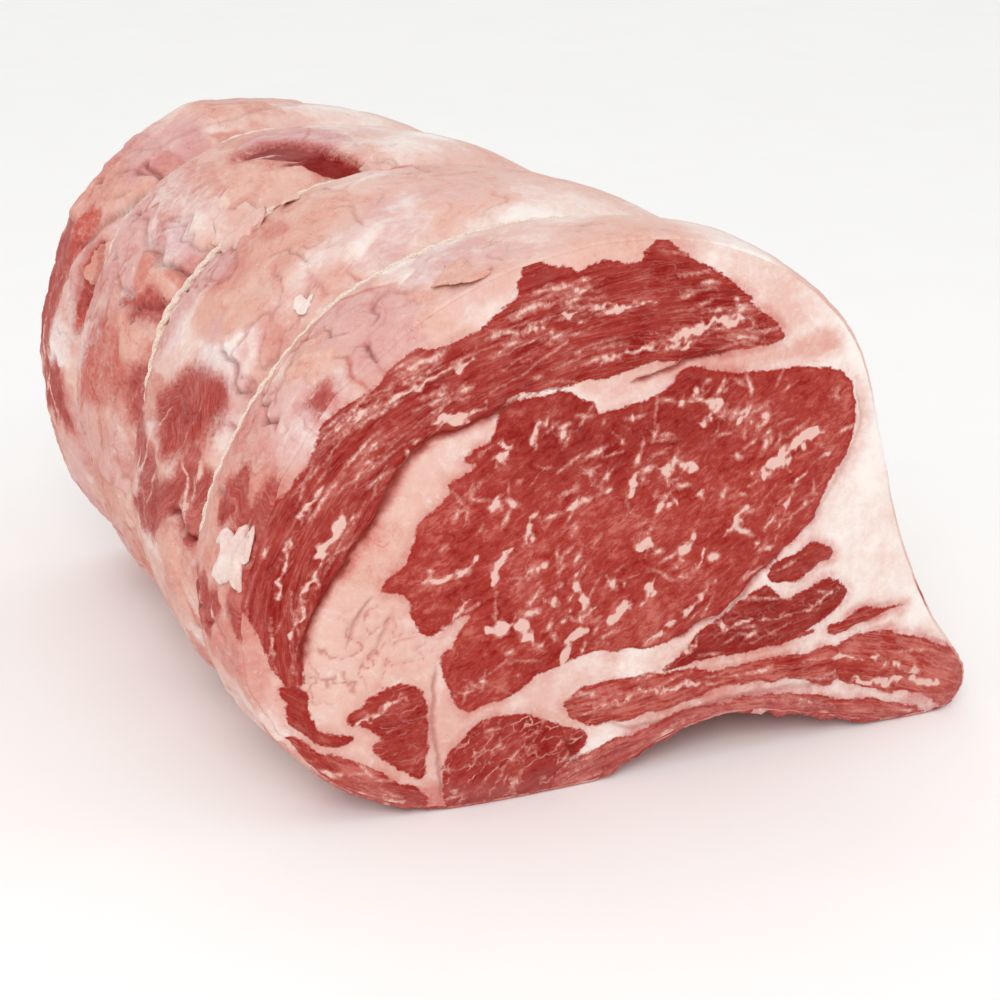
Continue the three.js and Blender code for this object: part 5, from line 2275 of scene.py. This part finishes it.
@dataclass(frozen=True)
class Studio:
    """A pale floor, a soft white room and the camera."""

    floor: float = 6.0
    room: float = 0.9
    key: float = 7.6
    key_place: tuple[float, float, float] = (-0.62, -1.15, 0.95)
    camera_place: tuple[float, float, float] = (-0.24932, -0.57325, 0.25981)
    turn: float = 24.5
    tilt: float = 19.5
    lens: float = 84.67

    def build(self) -> None:
        """Adds the floor, the lights and the camera."""
        scene = bpy.context.scene
        scene.view_settings.view_transform = "Standard"
        half = self.floor / 2
        mesh = bpy.data.meshes.new("floor")
        mesh.from_pydata(
            [(-half, -half, 0), (half, -half, 0), (half, half, 0), (-half, half, 0)], [],
            [(0, 1, 2, 3)],
        )
        floor = bpy.data.objects.new("floor", mesh)
        scene.collection.objects.link(floor)
        paint = bpy.data.materials.new("pale_floor")
        paint.use_nodes = True
        n = Nodes(paint.node_tree)
        bsdf = paint.node_tree.nodes["Principled BSDF"]
        grain = n.noise(n.place(), 0.02, 2.0)
        n.feed(bsdf.inputs["Base Color"], n.mix(grain, colour(249, 248, 246), colour(252, 252, 251)))
        bsdf.inputs["Roughness"].default_value = 0.9
        mesh.materials.append(paint)
        world = bpy.data.worlds.new("soft_room")
        world.use_nodes = True
        world.node_tree.nodes["Background"].inputs["Color"].default_value = (1, 1, 1, 1)
        world.node_tree.nodes["Background"].inputs["Strength"].default_value = self.room
        scene.world = world
        light = bpy.data.lights.new("soft_key", "AREA")
        light.energy = self.key
        light.size = 0.7
        key = bpy.data.objects.new("soft_key", light)
        key.location = self.key_place
        aim = -np.array(self.key_place) + (0, 0, 0.06)
        key.rotation_euler = (
            math.atan2(math.hypot(aim[0], aim[1]), -aim[2]), 0, math.atan2(-aim[0], aim[1])
        )
        scene.collection.objects.link(key)
        camera = bpy.data.objects.new("camera", bpy.data.cameras.new("camera"))
        camera.data.lens = self.lens
        camera.data.sensor_width = 36
        camera.location = self.camera_place
        camera.rotation_euler = (math.radians(90 - self.tilt), 0, math.radians(-self.turn))
        scene.collection.objects.link(camera)
        scene.camera = camera


# ---------------------------------------------------------------------------------------
# Everything together
# ---------------------------------------------------------------------------------------


def show_meat(piece: bpy.types.Object, meat: bpy.types.Material) -> None:
    """Dresses a piece of the meat and hands it to the frame."""
    piece.data.materials.append(meat)
    show(piece, "roast")


def show(piece: bpy.types.Object, node: str) -> None:
    """Hands one finished piece to the frame."""
    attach(piece, "root")
    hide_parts(node)
    log.info("%s: %d faces", piece.name, len(piece.data.polygons))


def main() -> None:
    """Builds the roast, its twine and the stage."""
    logging.basicConfig(level=logging.INFO, format="%(message)s")
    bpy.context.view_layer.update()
    form = Form(FormSize())
    meat = MeatFinish(LeanLook(), FatLook(), MarbleLook()).material()

    skin = Skin(form, SkinSize(), seed=11)
    skin.add_relief()
    skin.add_swells(SWELLS)
    skin.add_patches(PATCHES)
    skin.add_creases(CREASES)
    skin.add_tints()
    skin.add_sheets()
    skin.add_strands(1200)
    points = skin.settle()
    borders = [int(round(tie.distance / form.size.row_step)) for tie in TIES]
    borders = [skin.first] + borders + [skin.last]
    for number in range(4):
        first, last = borders[number : number + 2]
        show_meat(skin.build(f"fat_cover_{number + 1}", points, first, last), meat)

    cut_rim = skin.rim(points[skin.first], -1.0)[-2]
    cut = Face(form, FaceSize(), cut_rim, seed=3)
    cut.add_muscles(CUT_MUSCLES)
    cut.add_relief()
    cut.add_tints()
    cut.add_zones(FAT_ZONES)
    cut.add_kernel(KERNEL)
    cut.continue_skin(skin)
    cut.add_fat_strokes(FAT_STROKES)
    cut.scatter_flecks(1700)
    cut.add_seams(CUT_SEAMS)
    show_meat(cut.build("cut_face"), meat)

    for number, size in enumerate(FRINGES):
        fringe = Fringe(cut_rim, cut, size, seed=60 + number)
        show_meat(fringe.build(f"torn_edge_{number + 1}"), meat)

    far = Face(form, FaceSize(outward=1.0), skin.rim(points[skin.last], 1.0)[-2], seed=5)
    far.add_muscles(far_muscles())
    far.add_relief()
    far.add_tints()
    far.scatter_flecks(1200)
    show_meat(far.build("far_face"), meat)

    for number, size in enumerate(FLAPS):
        flap = Flap(form, points, skin.looks, size, seed=20 + number)
        show_meat(flap.build(f"fat_flap_{number + 1}"), meat)

    tree = TwineTree(TwineSize(), TwineFinish().material())
    for number, tie in enumerate(TIES):
        piece = Twine(form, points, tie, TwineSize()).build(tree, seed=40 + number)
        show(piece, tie.node)

    Studio().build()


if __name__ == "__main__":
    main()
